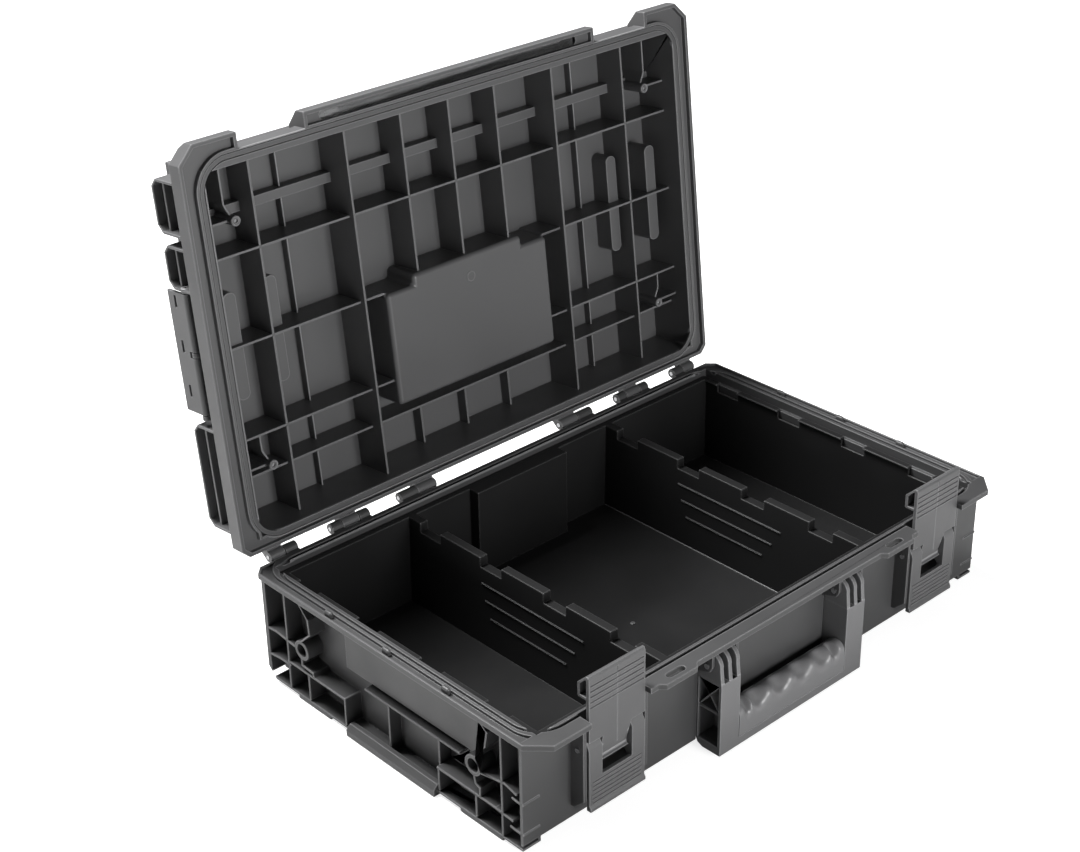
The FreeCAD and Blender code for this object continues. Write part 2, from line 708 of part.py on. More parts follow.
def base_shell():
    flange = prism("flange", "XY", flange_outline(0), flange_low, s.flange_top)
    tub = block("tub", -s.tub_half_width, s.tub_half_width, -s.tub_front, s.tub_back,
                s.tub_bottom, flange_low + s.wall)
    step_outer = block("step_block", -(step_half_width + s.wall), step_half_width + s.wall,
                       -(step_front + s.wall), step_back + s.wall, step_low, s.flange_top)
    front_panel = block("front_panel", -end_reach, end_reach, -s.tub_front,
                        -s.tub_front + s.wall, s.tub_bottom, flange_low + s.wall)
    recess_room, recess_wall = arm_recess()
    hollow = block("tub_hollow", -tub_inner, tub_inner, -s.tub_front + s.wall,
                   s.tub_back - s.wall, s.tub_bottom + s.wall, s.flange_top + over)
    step_room = block("step_room", -step_half_width, step_half_width, -step_front, step_back,
                      step_floor, s.flange_top + over)
    tub_solid = joined("tub_solid", [tub, step_outer, front_panel, flange, bottom_pad()])
    hull = cut("tub_shell", tub_solid, [hollow, step_room])
    outside = joined("base_right_outside", [end_ribs(), padlock_tab()] + latch_ears()
                     + base_knuckles())
    clear = cut("base_right_clear", outside, [step_room])
    right = joined("base_right_side", [clear, recess_wall])
    latch_x0 = s.latch_place - s.latch_half_width - s.latch_room
    latch_x1 = s.latch_place + s.latch_half_width + s.latch_room
    rooms = [recess_room]
    rooms += [block("latch_notch", latch_x0, latch_x1, -s.flange_front - over,
                    -(step_front + s.wall), flange_low - over, s.flange_top + over),
              padlock_slot(flange_low - over, s.flange_top + over, s.padlock_slot_width),
              hinge_bore("base_hinge_bore")]
    right_rooms = joined("base_right_rooms", rooms)
    carved = cut("base_carved", joined("base_whole", [hull] + both("base_side", right)),
                 both("base_rooms", right_rooms))
    ears = cut("handle_ears_clear", joined("handle_ears", handle_ears()), [step_room])
    with_ears = joined("base_with_ears", [carved] + both("ears", ears))
    pins = [rod("latch_pin_bore", "X", latch_x0 - s.latch_ear - over, latch_x1 + s.latch_ear + over,
                -s.latch_pin_y, s.latch_pin_z, s.latch_pin_radius + s.pin_play),
            rod("handle_pin_bore", "X", s.handle_inner - s.handle_ear_gap - s.handle_ear - over,
                s.handle_outer + s.handle_ear_gap + s.handle_ear + over, -s.handle_pin_y,
                s.handle_pin_z, s.handle_pin_radius + s.pin_play)]
    groove = frame_ring("seal_groove", s.flange_half_width - s.seal_groove_inset,
                        s.flange_front - s.seal_groove_front_inset,
                        s.flange_back - s.seal_groove_inset / 2,
                        s.flange_top - s.seal_groove_depth, s.flange_top + over, s.seal_radius,
                        s.seal_groove_width)
    tools = both("pin_bores", joined("pin_bores", pins)) + [groove, flange_recess()]
    finished("base_shell", cut("base_shell", with_ears, tools))


# Ridges on a divider: first and last place along the depth, and height as a share of the top
DIVIDER_RIDGE_SHARES = ((0.29, 0.68, 0.75), (0.32, 0.667, 0.588), (0.352, 0.646, 0.431))
# Places of the tray's notches from the middle of the depth, as shares of their pitch
NOTCH_STEP_SHARES = (-1.5, -0.5, 0.5, 1.5)


# Organizer insert with three compartments
def organizer_tray():
    outer_x = tub_inner - s.tray_gap
    inner_x = outer_x - s.tray_wall
    front = -s.tray_front_inner - s.tray_wall
    back = s.tub_back - s.wall - s.tray_gap
    inner_back = back - s.tray_wall
    low = s.tub_bottom + s.wall + s.tray_seat_gap
    floor = low + s.tray_wall
    top = s.tray_top
    ledge_low = step_floor + s.tray_seat_gap
    ledge_room = s.step_width - s.tray_gap
    body = block("tray_body", -outer_x, outer_x, front, back, low, top)
    hollow = block("tray_hollow", -inner_x, inner_x, -s.tray_front_inner, inner_back, floor,
                   top + over)
    ledge = block("tray_ledge", -(outer_x + ledge_room), outer_x + ledge_room,
                  -(step_front - s.tray_gap), step_back - s.tray_gap, ledge_low, top)
    ledge_hole = block("tray_ledge_hole", -inner_x + s.tray_ledge, inner_x - s.tray_ledge,
                       -s.tray_front_inner, inner_back, ledge_low - over, top + over)
    lid_ring = cut("tray_ring", ledge, [ledge_hole])
    shell = cut("tray_shell", body, [hollow])
    bump = block("tray_bump", -s.bump_half_width, s.bump_half_width, inner_back - s.bump_depth,
                 inner_back, floor - s.tray_wall / 2, top)
    added = [shell, lid_ring, bump]
    tools = [block("tray_bump_room", -s.bump_half_width + s.tray_wall,
                   s.bump_half_width - s.tray_wall, inner_back - s.bump_depth + s.tray_wall,
                   back + over, low - over, top - s.tray_wall)]
    for side in (-1, 1):
        middle = s.divider_place * side
        half = s.divider_width / 2
        foot = s.divider_foot_width / 2
        wall = [(middle - foot, low), (middle + foot, low), (middle + half, top), (middle - half, top)]
        added.append(prism("divider", "XZ", wall, -s.tray_front_inner - s.tray_wall / 2,
                           inner_back + s.tray_wall / 2))
        skin = s.divider_skin
        roof = top - s.notch_depth - s.divider_skin
        core = [(middle - foot + skin, low - over), (middle + foot - skin, low - over),
                (middle + half - skin, roof), (middle - half + skin, roof)]
        tools.append(prism("divider_core", "XZ", core, -s.tray_front_inner + s.tray_wall,
                           inner_back - s.tray_wall))
        for first, last, height in DIVIDER_RIDGE_SHARES:
            edge = middle - half - (s.divider_foot_width - s.divider_width) / 2 * (1 - height)
            z = top * height
            added.append(block("divider_ridge", edge - s.divider_ridge, middle, tub_y(first),
                               tub_y(last), z, z + s.divider_ridge))
    half = s.notch_length / 2
    for step in NOTCH_STEP_SHARES:
        y = s.notch_pitch * step
        tools.append(block("tray_notch", -outer_x - s.step_width, outer_x + s.step_width,
                           y - half, y + half, top - s.notch_depth, top + over))
    finished("organizer_tray", cut("organizer_tray", joined("tray_solid", added), tools))


# Lid
lid_low = s.lid_low_face
skirt_top = lid_low + s.lid_skirt_height
roof_low = s.lid_top - s.lid_roof


def lid_outline(x, front, back, corner):
    """The lid's outline seen from above, with the gaps for the latches."""
    gap = -(s.lid_gap_front - (s.lid_front - front))
    inner = s.lid_gap_inner - (s.lid_half_width - x)
    outer = s.lid_gap_outer + (s.lid_half_width - x)
    right = [(inner, -front), (inner, gap), (outer, gap), (outer, -front), (x - corner, -front),
             (x, -front + corner), (x, back - corner / 2), (x - corner / 2, back)]
    left = [(-u, v) for u, v in reversed(right)]
    return right + left


def lid_rim():
    """The rim plate with the upright skirt round its edge."""
    outer = prism("lid_rim", "XY", lid_outline(s.lid_half_width, s.lid_front, s.lid_back,
                                               s.lid_corner), lid_low, skirt_top)
    t = s.lid_skirt
    inner = prism("lid_rim_room", "XY", inset_outline(t), lid_low + s.lid_rim_plate,
                  skirt_top + over)
    band = prism("lid_rim_groove", "XY", inset_outline(s.lid_rim_band), lid_low - over,
                 lid_low + s.lid_rim_groove_depth)
    inset = s.lid_ridge_inset
    x = s.lid_half_width - inset
    ridge = rounded_plate("lid_rim_ridge", -x, x, -(s.lid_front - inset), s.lid_back - inset / 2,
                          lid_low - over * 2, lid_low + s.lid_rim_plate,
                          s.seal_radius + s.gasket_inset - inset)
    return cut("lid_rim_shell", outer, [inner, cut("lid_rim_groove_room", band, [ridge])])


def inset_outline(inset):
    """The lid's outline drawn in by an inset."""
    return lid_outline(s.lid_half_width - inset, s.lid_front - inset, s.lid_back - inset,
                       s.lid_corner - inset * INSET_CORNER_SHARE)


rise_low = lid_low + s.lid_front_rise
rise_high = rise_low + s.lid_front_slope


def front_rises():
    """The slanted hollow walls that rise from the front bar and corners of the rim."""
    t = s.lid_skirt
    front, ridge, back = -s.lid_front, -s.lid_gap_front, -s.lid_inner_front
    outline = [(front, rise_low - t), (front, rise_low), (ridge, rise_high), (back, rise_high),
               (back, rise_low - t)]
    room = [(front + t, rise_low - t - over), (front + t, rise_low - t / 2),
            (ridge + t / 2, rise_high - t), (back, rise_high - t), (back, rise_low - t - over)]
    corner_x = s.lid_half_width - s.lid_corner
    items = []
    for x0, x1 in ((-s.lid_gap_inner, s.lid_gap_inner), (s.lid_gap_outer, corner_x),
                   (-corner_x, -s.lid_gap_outer)):
        tools = [prism("front_rise_room", "YZ", room, x0 + t, x1 - t)]
        for hole in (x0 + t * 2, x1 - t * 2 - s.lid_rise_hole):
            tools.append(block("rise_hole", hole, hole + s.lid_rise_hole, ridge + t,
                               ridge + t + s.lid_rise_hole, rise_high - t - over,
                               rise_high + over))
        items.append(cut("front_rise_shell", prism("front_rise", "YZ", outline, x0, x1), tools))
    return items


def front_trim():
    """The space above the slant, which also slopes the skirt's top along the front."""
    front, ridge = -s.lid_front, -s.lid_gap_front
    outline = [(front - over, rise_low), (front, rise_low), (ridge, rise_high),
               (ridge, rise_high + over), (front - over, rise_high + over)]
    return prism("front_trim", "YZ", outline, -s.lid_half_width - over, s.lid_half_width + over)


# End blocks of the lid: first and last place along the depth and top, in shares of the lid
LID_BLOCK_SHARES = ((0.083, 0.212, 0.89), (0.237, 0.343, 0.84), (0.677, 0.943, 0.86))
# Ribs under the roof: places over half the width, then places along the depth
LID_MINOR_SHARES = (0.0, 0.203, 0.802)
LID_CROSS_SHARES = (0.29, 0.507, 0.736)
LID_LAST_CROSS_SHARE = 0.84
LID_LAST_CROSS_DEPTH_SHARE = 0.8
LID_BOSS_SHARES = (0.208, 0.814)


def lid_y(share):
    """A place along the depth of the lid, from its front at 0 to its back at 1."""
    return -s.lid_front + (s.lid_front + s.lid_back) * share


def lid_z(share):
    """A height in the lid, from its rim at 0 to its top at 1."""
    return lid_low + (s.lid_top - lid_low) * share


def lid_end_blocks():
    """Hollow blocks on the lid's right end, with the lugs of the stacking clip."""
    items = []
    t = s.lid_block_wall
    x0 = s.lid_inner_half_width
    x1 = s.lid_half_width
    for first, last, height in LID_BLOCK_SHARES:
        c = s.lid_block_corner
        y0, y1, z0, z1 = lid_y(first), lid_y(last), lid_low + s.lid_rim_plate - t, lid_z(height)
        outline = [(y0, z0), (y1, z0), (y1, z1 - c), (y1 - c, z1), (y0 + c, z1), (y0, z1 - c)]
        inside = [(y0 + t, z0 + t), (y1 - t, z0 + t), (y1 - t, z1 - c), (y1 - c, z1 - t),
                  (y0 + c, z1 - t), (y0 + t, z1 - c)]
        outer = prism("lid_block", "YZ", outline, x0, x1)
        room = prism("lid_block_room", "YZ", inside, x0 + s.lid_wall, x1 + over)
        rib = block("lid_block_rib", x0, x1 - c / 2, y0, y1, z1 - c * 2, z1 - c * 2 + t)
        items.append(joined("lid_block_ribbed", [cut("lid_block_shell", outer, [room]), rib]))
    middle = (s.clip_back - s.clip_front) / 2
    for y0 in (-s.clip_front, middle - s.clip_lug / 2, s.clip_back - s.clip_lug):
        y1 = y0 + s.clip_lug
        lug = rod("clip_lug", "Y", y0, y1, s.clip_pin_reach, s.clip_pin_z, s.clip_barrel)
        arm = block("clip_lug_arm", x0, s.clip_pin_reach, y0, y1, s.clip_pin_z - s.clip_barrel,
                    s.clip_pin_z + s.clip_barrel)
        items += [lug, arm]
    return items


# Corner radius of a long bump as a share of its width
BUMP_ROUND_SHARE = 0.45


def lid_bumps():
    """The two long hollow bumps of the roof's right field, open on top."""
    t = s.lid_wall
    solids, rooms = [], []
    y0, y1 = -s.lid_bump_front, s.lid_bump_back
    for x0, depth in ((s.lid_bump_first, s.lid_bump_depth),
                      (s.lid_bump_second, s.lid_bump_second_depth)):
        x1 = x0 + s.lid_bump_width
        low = roof_low - depth
        solids.append(rounded_plate("lid_bump", x0, x1, y0, y1, low, roof_low + s.lid_roof / 2,
                                    s.lid_bump_width * BUMP_ROUND_SHARE))
        rooms.append(block("lid_bump_room", x0 + t, x1 - t, y0 + t, y1 - t, low + t,
                           s.lid_top + over))
    return solids, rooms


def lid_ribs():
    """Ribs, bars and screw bosses under the right half of the roof."""
    half = s.lid_rib / 2
    up = roof_low + s.lid_roof / 2
    front = -s.lid_inner_front
    back = s.lid_inner_back
    items = []

    def upright(x, y0, y1, depth):
        items.append(block("lid_rib", x - half, x + half, y0, y1, roof_low - depth, up))

    def cross(y, x0, x1, depth):
        items.append(block("lid_cross_rib", x0, x1, y - half, y + half, roof_low - depth, up))

    upright(s.lid_rib_place, front, back, s.lid_rib_deep)
    edge = s.lid_inner_half_width
    upright(edge * LID_MINOR_SHARES[0], front, -s.lid_box_front, s.lid_rib_middle)
    upright(edge * LID_MINOR_SHARES[1], front, -s.lid_box_front, s.lid_rib_middle)
    upright(edge * LID_MINOR_SHARES[2], front, back, s.lid_rib_middle)
    last = lid_y(LID_LAST_CROSS_SHARE)
    for share in LID_MINOR_SHARES[:2]:
        upright(edge * share, last, back, s.lid_rib_shallow)
    cross(lid_y(LID_CROSS_SHARES[0]), 0, edge, s.lid_rib_middle)
    for share in LID_CROSS_SHARES[1:]:
        cross(lid_y(share), s.lid_box_half_width, edge, s.lid_rib_middle)
    cross(last, 0, edge, s.lid_rib_middle * LID_LAST_CROSS_DEPTH_SHARE)
    items.append(block("lid_bar", 0, edge, -s.lid_bar_place - s.lid_bar / 2,
                       -s.lid_bar_place + s.lid_bar / 2, roof_low - s.lid_rib_shallow, up))
    for share in LID_BOSS_SHARES:
        y = lid_y(share)
        items.append(rod("lid_boss", "Z", roof_low - s.lid_rib_deep, up, s.lid_boss_place, y,
                         s.lid_boss_radius))
        items.append(block("lid_boss_rib", s.lid_boss_place, edge, y - half, y + half,
                           roof_low - s.lid_rib_middle, up))
    return items


def lid_box():
    """The closed box that hangs from the middle of the roof."""
    x = s.lid_box_half_width
    neck = s.lid_box_neck
    outline = [(-x, -s.lid_box_shoulder), (-neck, -s.lid_box_shoulder), (-neck, -s.lid_box_front),
               (neck, -s.lid_box_front), (neck, -s.lid_box_shoulder), (x, -s.lid_box_shoulder),
               (x, s.lid_box_back), (-x, s.lid_box_back)]
    solid = prism("lid_box", "XY", outline, s.lid_box_low, roof_low + s.lid_roof / 2)
    t = s.lid_wall
    room = block("lid_box_room", -x + t, x - t, -s.lid_box_shoulder + t, s.lid_box_back - t,
                 s.lid_box_low + t, s.lid_top + over)
    return solid, room


# Where a lid knuckle's web meets the knuckle, as a share of its radius
KNUCKLE_WEB_SHARE = 0.7


def lid_knuckles():
    items = []
    for first, last in HINGE_LID_SHARES:
        x0 = hinge_x(first) + s.hinge_gap / 2
        x1 = hinge_x(last) - s.hinge_gap / 2
        items.append(rod("lid_knuckle", "X", x0, x1, s.hinge_y, s.hinge_z, s.hinge_knuckle))
        web = [(s.lid_back - s.lid_skirt / 2, lid_low + s.hinge_gap),
               (s.hinge_y, lid_low + s.hinge_gap),
               (s.hinge_y + s.hinge_knuckle * KNUCKLE_WEB_SHARE,
                s.hinge_z + s.hinge_knuckle * KNUCKLE_WEB_SHARE),
               (s.lid_back - s.lid_skirt / 2, skirt_top)]
        items.append(prism("lid_knuckle_web", "YZ", web, x0, x1))
    return items


def lid_shell():
    t = s.lid_wall
    x = s.lid_inner_half_width
    walls = block("lid_walls", -(x + t), x + t, -(s.lid_inner_front + t), s.lid_inner_back + t,
                  lid_low, s.lid_top)
    hollow = block("lid_hollow", -x, x, -s.lid_inner_front, s.lid_inner_back, lid_low - over,
                   roof_low)
    box_solid, box_room = lid_box()
    rim = lid_rim()
    opening = block("lid_opening", -x, x, -s.lid_inner_front, s.lid_inner_back,
                    lid_low - over, skirt_top + over)
    ledge = []
    for side in (-1, 1):
        x0 = s.lid_gap_inner if side > 0 else -s.lid_gap_outer
        x1 = s.lid_gap_outer if side > 0 else -s.lid_gap_inner
        ledge.append(block("latch_ledge", x0 - t, x1 + t, -s.lid_gap_front, -s.lid_inner_front,
                           skirt_top - t, skirt_top))
    cover = cut("lid_cover", walls, [hollow])
    rim_open = cut("lid_rim_open", rim, [opening])
    bumps, bump_rooms = lid_bumps()
    right = joined("lid_right_side", lid_end_blocks() + lid_ribs() + lid_knuckles() + bumps)
    whole = joined("lid_whole", [cover, rim_open, box_solid] + ledge + front_rises()
                   + both("lid_side", right))
    slot = padlock_slot(lid_low - over, lid_low + s.lid_rim_plate + over, s.lid_slot_width)
    bosses = [rod("lid_boss_bore", "Z", roof_low - s.lid_rib_deep - over, roof_low,
                  s.lid_boss_place, lid_y(share), s.lid_boss_bore) for share in LID_BOSS_SHARES]
    clip_bore = rod("clip_bore", "Y", -s.clip_front - over, s.clip_back + over, s.clip_pin_reach,
                    s.clip_pin_z, s.clip_pin_radius + s.pin_play)
    rooms = joined("lid_side_rooms", [slot, hinge_bore("lid_hinge_bore"), clip_bore] + bosses
                   + bump_rooms)
    groove = frame_ring("gasket_groove", s.lid_half_width - s.gasket_inset,
                        s.lid_front - s.gasket_inset, s.lid_back - s.gasket_inset / 2,
                        lid_low - over, lid_low + s.gasket_height + s.gasket_play * 2,
                        s.seal_radius, s.gasket_width)
    opened("lid_shell", cut("lid_closed", whole, both("lid_rooms", rooms)
                            + [box_room, groove, front_trim()]))


def lid_gasket():
    inset = s.gasket_inset + s.gasket_play
    ring = frame_ring("gasket_ring", s.lid_half_width - inset, s.lid_front - inset,
                      s.lid_back - s.gasket_inset / 2 - s.gasket_play, lid_low + s.gasket_play,
                      lid_low + s.gasket_play + s.gasket_height, s.seal_radius - s.gasket_play,
                      s.gasket_width - s.gasket_play * 2)
    opened("lid_gasket", ring)


def hinge_pins():
    """One short pin in each hinge block; a side's three pins are one group."""
    pins = doc.addObject("Part::Compound", "hinge_pin_group")
    pins.Links = [rod("hinge_pin", "X", hinge_x(first), hinge_x(last), s.hinge_y, s.hinge_z,
                      s.hinge_pin_radius) for first, last in HINGE_BLOCK_SHARES]
    finished("hinge_pins_right", pins)
    finished("hinge_pins_left", mirrored("hinge_pins_other", pins))


# Latches, built on the right side and mirrored
def pair(label, item):
    finished(label + "_right", item)
    finished(label + "_left", mirrored(label + "_other", item))


LEVER_GROOVES = 6
HOOK_GROOVES = 5
# Shares of a groove's pitch, of the knuckle's radius and of the curled lip
LEVER_GROOVE_START_SHARE = 0.3
HOOK_GROOVE_START_SHARE = 0.8
KNUCKLE_CLEAR_SHARE = 1.4
LIP_REACH_SHARE = 0.6


def latch_lever():
    x0 = s.latch_place - s.latch_half_width
    x1 = s.latch_place + s.latch_half_width
    front = -s.latch_front
    back = front + s.lever_depth
    skin = s.lever_skin
    cheek = [(front, s.lever_bottom + s.lever_lip), (front, s.lever_top - s.lever_shoulder),
             (front + s.lever_shoulder / 2, s.lever_top), (back - skin, s.lever_top),
             (back, s.lever_top - skin), (back, s.link_pin_z - s.hook_knuckle * KNUCKLE_CLEAR_SHARE),
             (front + skin, s.lever_window_low - skin), (front + skin, s.lever_bottom + s.lever_lip)]
    cheeks = [prism("lever_cheek", "YZ", cheek, a, b) for a, b in
              ((x0, x0 + s.lever_cheek), (x1 - s.lever_cheek, x1))]
    plate = block("lever_plate", x0, x1, front, front + skin, s.lever_bottom + s.lever_lip,
                  s.lever_window_low)
    lip_front = front - s.lever_lip * LIP_REACH_SHARE
    lip_top = s.lever_bottom + s.lever_lip * 2
    lip = [(lip_front, s.lever_bottom), (front + skin, s.lever_bottom), (front + skin, lip_top),
           (front, lip_top), (lip_front, s.lever_bottom + s.lever_lip)]
    curled = prism("lever_curl", "YZ", lip, x0, x1)
    tools = [rod("lever_pin_bore", "X", x0 - over, x1 + over, -s.latch_pin_y, s.latch_pin_z,
                 s.latch_pin_radius + s.pin_play),
             rod("lever_link_bore", "X", x0 - over, x1 + over, -s.link_pin_y, s.link_pin_z,
                 s.link_pin_radius + s.pin_play)]
    for step in range(LEVER_GROOVES):
        z = lip_top + s.lever_groove_pitch * (step + LEVER_GROOVE_START_SHARE)
        tools.append(block("lever_groove", x0 + skin, x1 - skin, front - over, front + s.grip_groove,
                           z, z + s.grip_groove))
    pair("latch_lever", cut("latch_lever", joined("lever_solid", cheeks + [plate, curled]), tools))


# Corners of the hook's hollow, as shares of its wall
HOOK_ROOM_SHARES = (1.4, 1.8, 0.4)


def latch_hook():
    x0 = s.latch_place - s.latch_half_width
    x1 = s.latch_place + s.latch_half_width
    front = -s.latch_front
    skin = s.hook_skin
    inner = front + skin
    tip = inner + s.hook_reach
    wide_low = s.lever_top + s.hinge_gap
    neck = s.latch_half_width - s.lever_cheek - s.hinge_gap
    plate = block("hook_plate", x0, x1, front, inner, wide_low, s.hook_top - s.hook_wall)
    neck_block = block("hook_neck", s.latch_place - neck, s.latch_place + neck, front, inner,
                       s.hook_bottom - s.hook_knuckle, wide_low + over)
    arm = [(front, s.hook_bottom), (front, s.link_pin_z),
           (-s.link_pin_y, s.link_pin_z - s.hook_knuckle),
           (-s.link_pin_y, s.link_pin_z + s.hook_knuckle), (inner, s.hook_bottom)]
    tongue = prism("hook_tongue", "YZ", arm, s.latch_place - neck, s.latch_place + neck)
    knuckle = rod("hook_knuckle", "X", s.latch_place - neck, s.latch_place + neck, -s.link_pin_y,
                  s.link_pin_z, s.hook_knuckle)
    roll = [(front, s.hook_mouth), (front, s.hook_top - s.hook_wall),
            (front + s.hook_wall / 2, s.hook_top), (inner, s.hook_top),
            (tip, s.hook_top - s.hook_slope), (tip, s.hook_mouth + s.hook_wall / 2),
            (tip - s.hook_wall / 2, s.hook_mouth)]
    roll_solid = prism("hook_roll", "YZ", roll, x0, x1)
    near, middle, far = HOOK_ROOM_SHARES
    room = [(inner, s.hook_mouth + s.hook_wall), (inner, s.hook_top - s.hook_wall * near),
            (inner + s.hook_wall, s.hook_top - s.hook_wall * middle),
            (tip - s.hook_wall, s.hook_top - s.hook_slope - s.hook_wall * far),
            (tip - s.hook_wall, s.hook_mouth + s.hook_wall)]
    tools = [prism("hook_hollow", "YZ", room, x0 - over, x1 + over),
             rod("hook_link_bore", "X", x0, x1, -s.link_pin_y, s.link_pin_z,
                 s.link_pin_radius + s.pin_play)]
    for step in range(HOOK_GROOVES):
        z = s.hook_top - s.hook_wall * 2 - s.hook_groove_pitch * (step + HOOK_GROOVE_START_SHARE)
        tools.append(block("hook_groove", x0 + skin / 2, x1 - skin / 2, front - over,
                           front + s.grip_groove, z, z + s.grip_groove))
    seam_half = s.grip_groove / 3
    tools.append(block("hook_seam", s.latch_place - seam_half, s.latch_place + seam_half,
                       front - over, front + s.grip_groove / 2, s.hook_bottom - over,
                       s.hook_top + over))
    solid = joined("hook_solid", [plate, neck_block, tongue, knuckle, roll_solid])
    pair("latch_hook", cut("latch_hook", solid, tools))


def latch_pins():
    reach = s.latch_half_width + s.latch_room + s.latch_ear + s.latch_pin_head
    pair("latch_base_pin", rod("latch_base_pin", "X", s.latch_place - reach, s.latch_place + reach,
                               -s.latch_pin_y, s.latch_pin_z, s.latch_pin_radius))
    reach = s.latch_half_width
    pair("latch_link_pin", rod("latch_link_pin", "X", s.latch_place - reach, s.latch_place + reach,
                               -s.link_pin_y, s.link_pin_z, s.link_pin_radius))


# Carrying handle: shares of the bar's height, of the arm's height and of the hub's radius
ARM_CORNER_SHARE = 0.3
BRACE_START_SHARE = 0.45
HUB_PLACE_SHARES = (0.0, 0.5, 1.0)
HUB_ROOT_SHARES = (0.9, 0.98)


def handle_brace(low_y, high_y, low, high):
    """One slanted brace of the right arm's hollow, between two places along the depth."""
    half = s.handle_skin / 2
    if low_y.value > high_y.value:
        half = -half
    outline = [(low_y, low), (low_y + half, low), (high_y, high), (high_y - half, high)]
    inset = s.handle_skin / 2
    return prism("handle_brace", "YZ", outline, s.handle_inner + inset, s.handle_outer - inset)


def handle_frame():
    front = -s.handle_front
    back = -s.handle_back
    skin = s.handle_skin
    bottom = s.handle_bottom
    corner = s.handle_bar
    chamfer = corner * ARM_CORNER_SHARE
    side = [(front, bottom), (back - corner, bottom), (back - chamfer, bottom + chamfer),
            (back, bottom + corner), (back, s.handle_shoulder), (front, s.handle_shoulder)]
    arm = prism("handle_arm", "YZ", side, s.handle_inner, s.handle_outer)
    room = block("handle_arm_room", s.handle_inner + skin, s.handle_outer + over, front + skin,
                 back - skin, bottom + corner, s.handle_shoulder - skin)
    braced = cut("handle_arm_shell", arm, [room])
    low = bottom + corner + (s.handle_shoulder - bottom) * BRACE_START_SHARE
    high = s.handle_shoulder - skin / 2
    half = s.handle_skin / 2
    braces = [handle_brace(low_y, high_y, low, high)
              for low_y, high_y in ((front + half, back - half), (back - half, front + half))]
    shelf = block("handle_shelf", s.handle_inner + half, s.handle_outer - half, front + half,
                  back - half, low - half, low + half)
    hubs = []
    span = s.handle_outer - s.handle_inner
    behind, ahead = HUB_ROOT_SHARES
    for share in HUB_PLACE_SHARES:
        x0 = s.handle_inner + (span - s.handle_hub_rib) * share
        x1 = x0 + s.handle_hub_rib
        hubs.append(rod("handle_hub", "X", x0, x1, -s.handle_pin_y, s.handle_pin_z, s.handle_hub))
        root = [(front, s.handle_shoulder - skin), (back, s.handle_shoulder - skin),
                (-s.handle_pin_y + s.handle_hub * behind, s.handle_pin_z),
                (-s.handle_pin_y - s.handle_hub * ahead, s.handle_pin_z)]
        hubs.append(prism("handle_hub_root", "YZ", root, x0, x1))
    right = joined("handle_right", [braced, shelf] + braces + hubs)
    bar = block("handle_bar", -s.handle_inner - half, s.handle_inner + half, front,
                front + s.handle_hub, bottom, bottom + s.handle_bar)
    solid = joined("handle_solid", both("handle_right", right) + [bar])
    bore = rod("handle_bore", "X", s.handle_inner - over, s.handle_outer + over, -s.handle_pin_y,
               s.handle_pin_z, s.handle_pin_radius + s.pin_play)
    finished("handle_frame", cut("handle_frame", solid, both("handle_bore", bore)))


# The grip's outline over its foot, from front to back: place over its depth, and drop from
# its top as a share of the rise above the panel
GRIP_OUTLINE_SHARES = ((0.0, 1.0), (0.12, 0.4), (0.35, 0.0), (0.65, 0.0), (0.88, 0.4),
                       (1.0, 1.0), (1.0, 1.7), (0.8, 2.5), (0.45, 2.8))
GRIP_FOOT_SHARE = 0.2


def handle_grip():
    front = -s.handle_front
    low = s.handle_bottom + s.handle_bar + s.grip_gap
    back = -s.grip_back
    depth = back - front
    rise = s.grip_top - s.grip_panel_top
    outline = [(front, low)]
    outline += [(front + depth * share, s.grip_top - rise * drop)
                for share, drop in GRIP_OUTLINE_SHARES]
    outline.append((front + depth * GRIP_FOOT_SHARE, low))
    reach = s.handle_inner - s.grip_gap
    finished("handle_grip", prism("handle_grip", "YZ", outline, -reach, reach))


def handle_pins():
    x0 = s.handle_inner - s.handle_ear_gap - s.handle_ear - s.latch_pin_head
    x1 = s.handle_outer + s.handle_ear_gap + s.handle_ear + s.latch_pin_head
    pair("handle_pin", rod("handle_pin", "X", x0, x1, -s.handle_pin_y, s.handle_pin_z,
                           s.handle_pin_radius))


# Stacking clips on the lid's ends, with their slots' places along the clip
CLIP_SLOT_SHARES = (0.08, 0.45, 0.82)


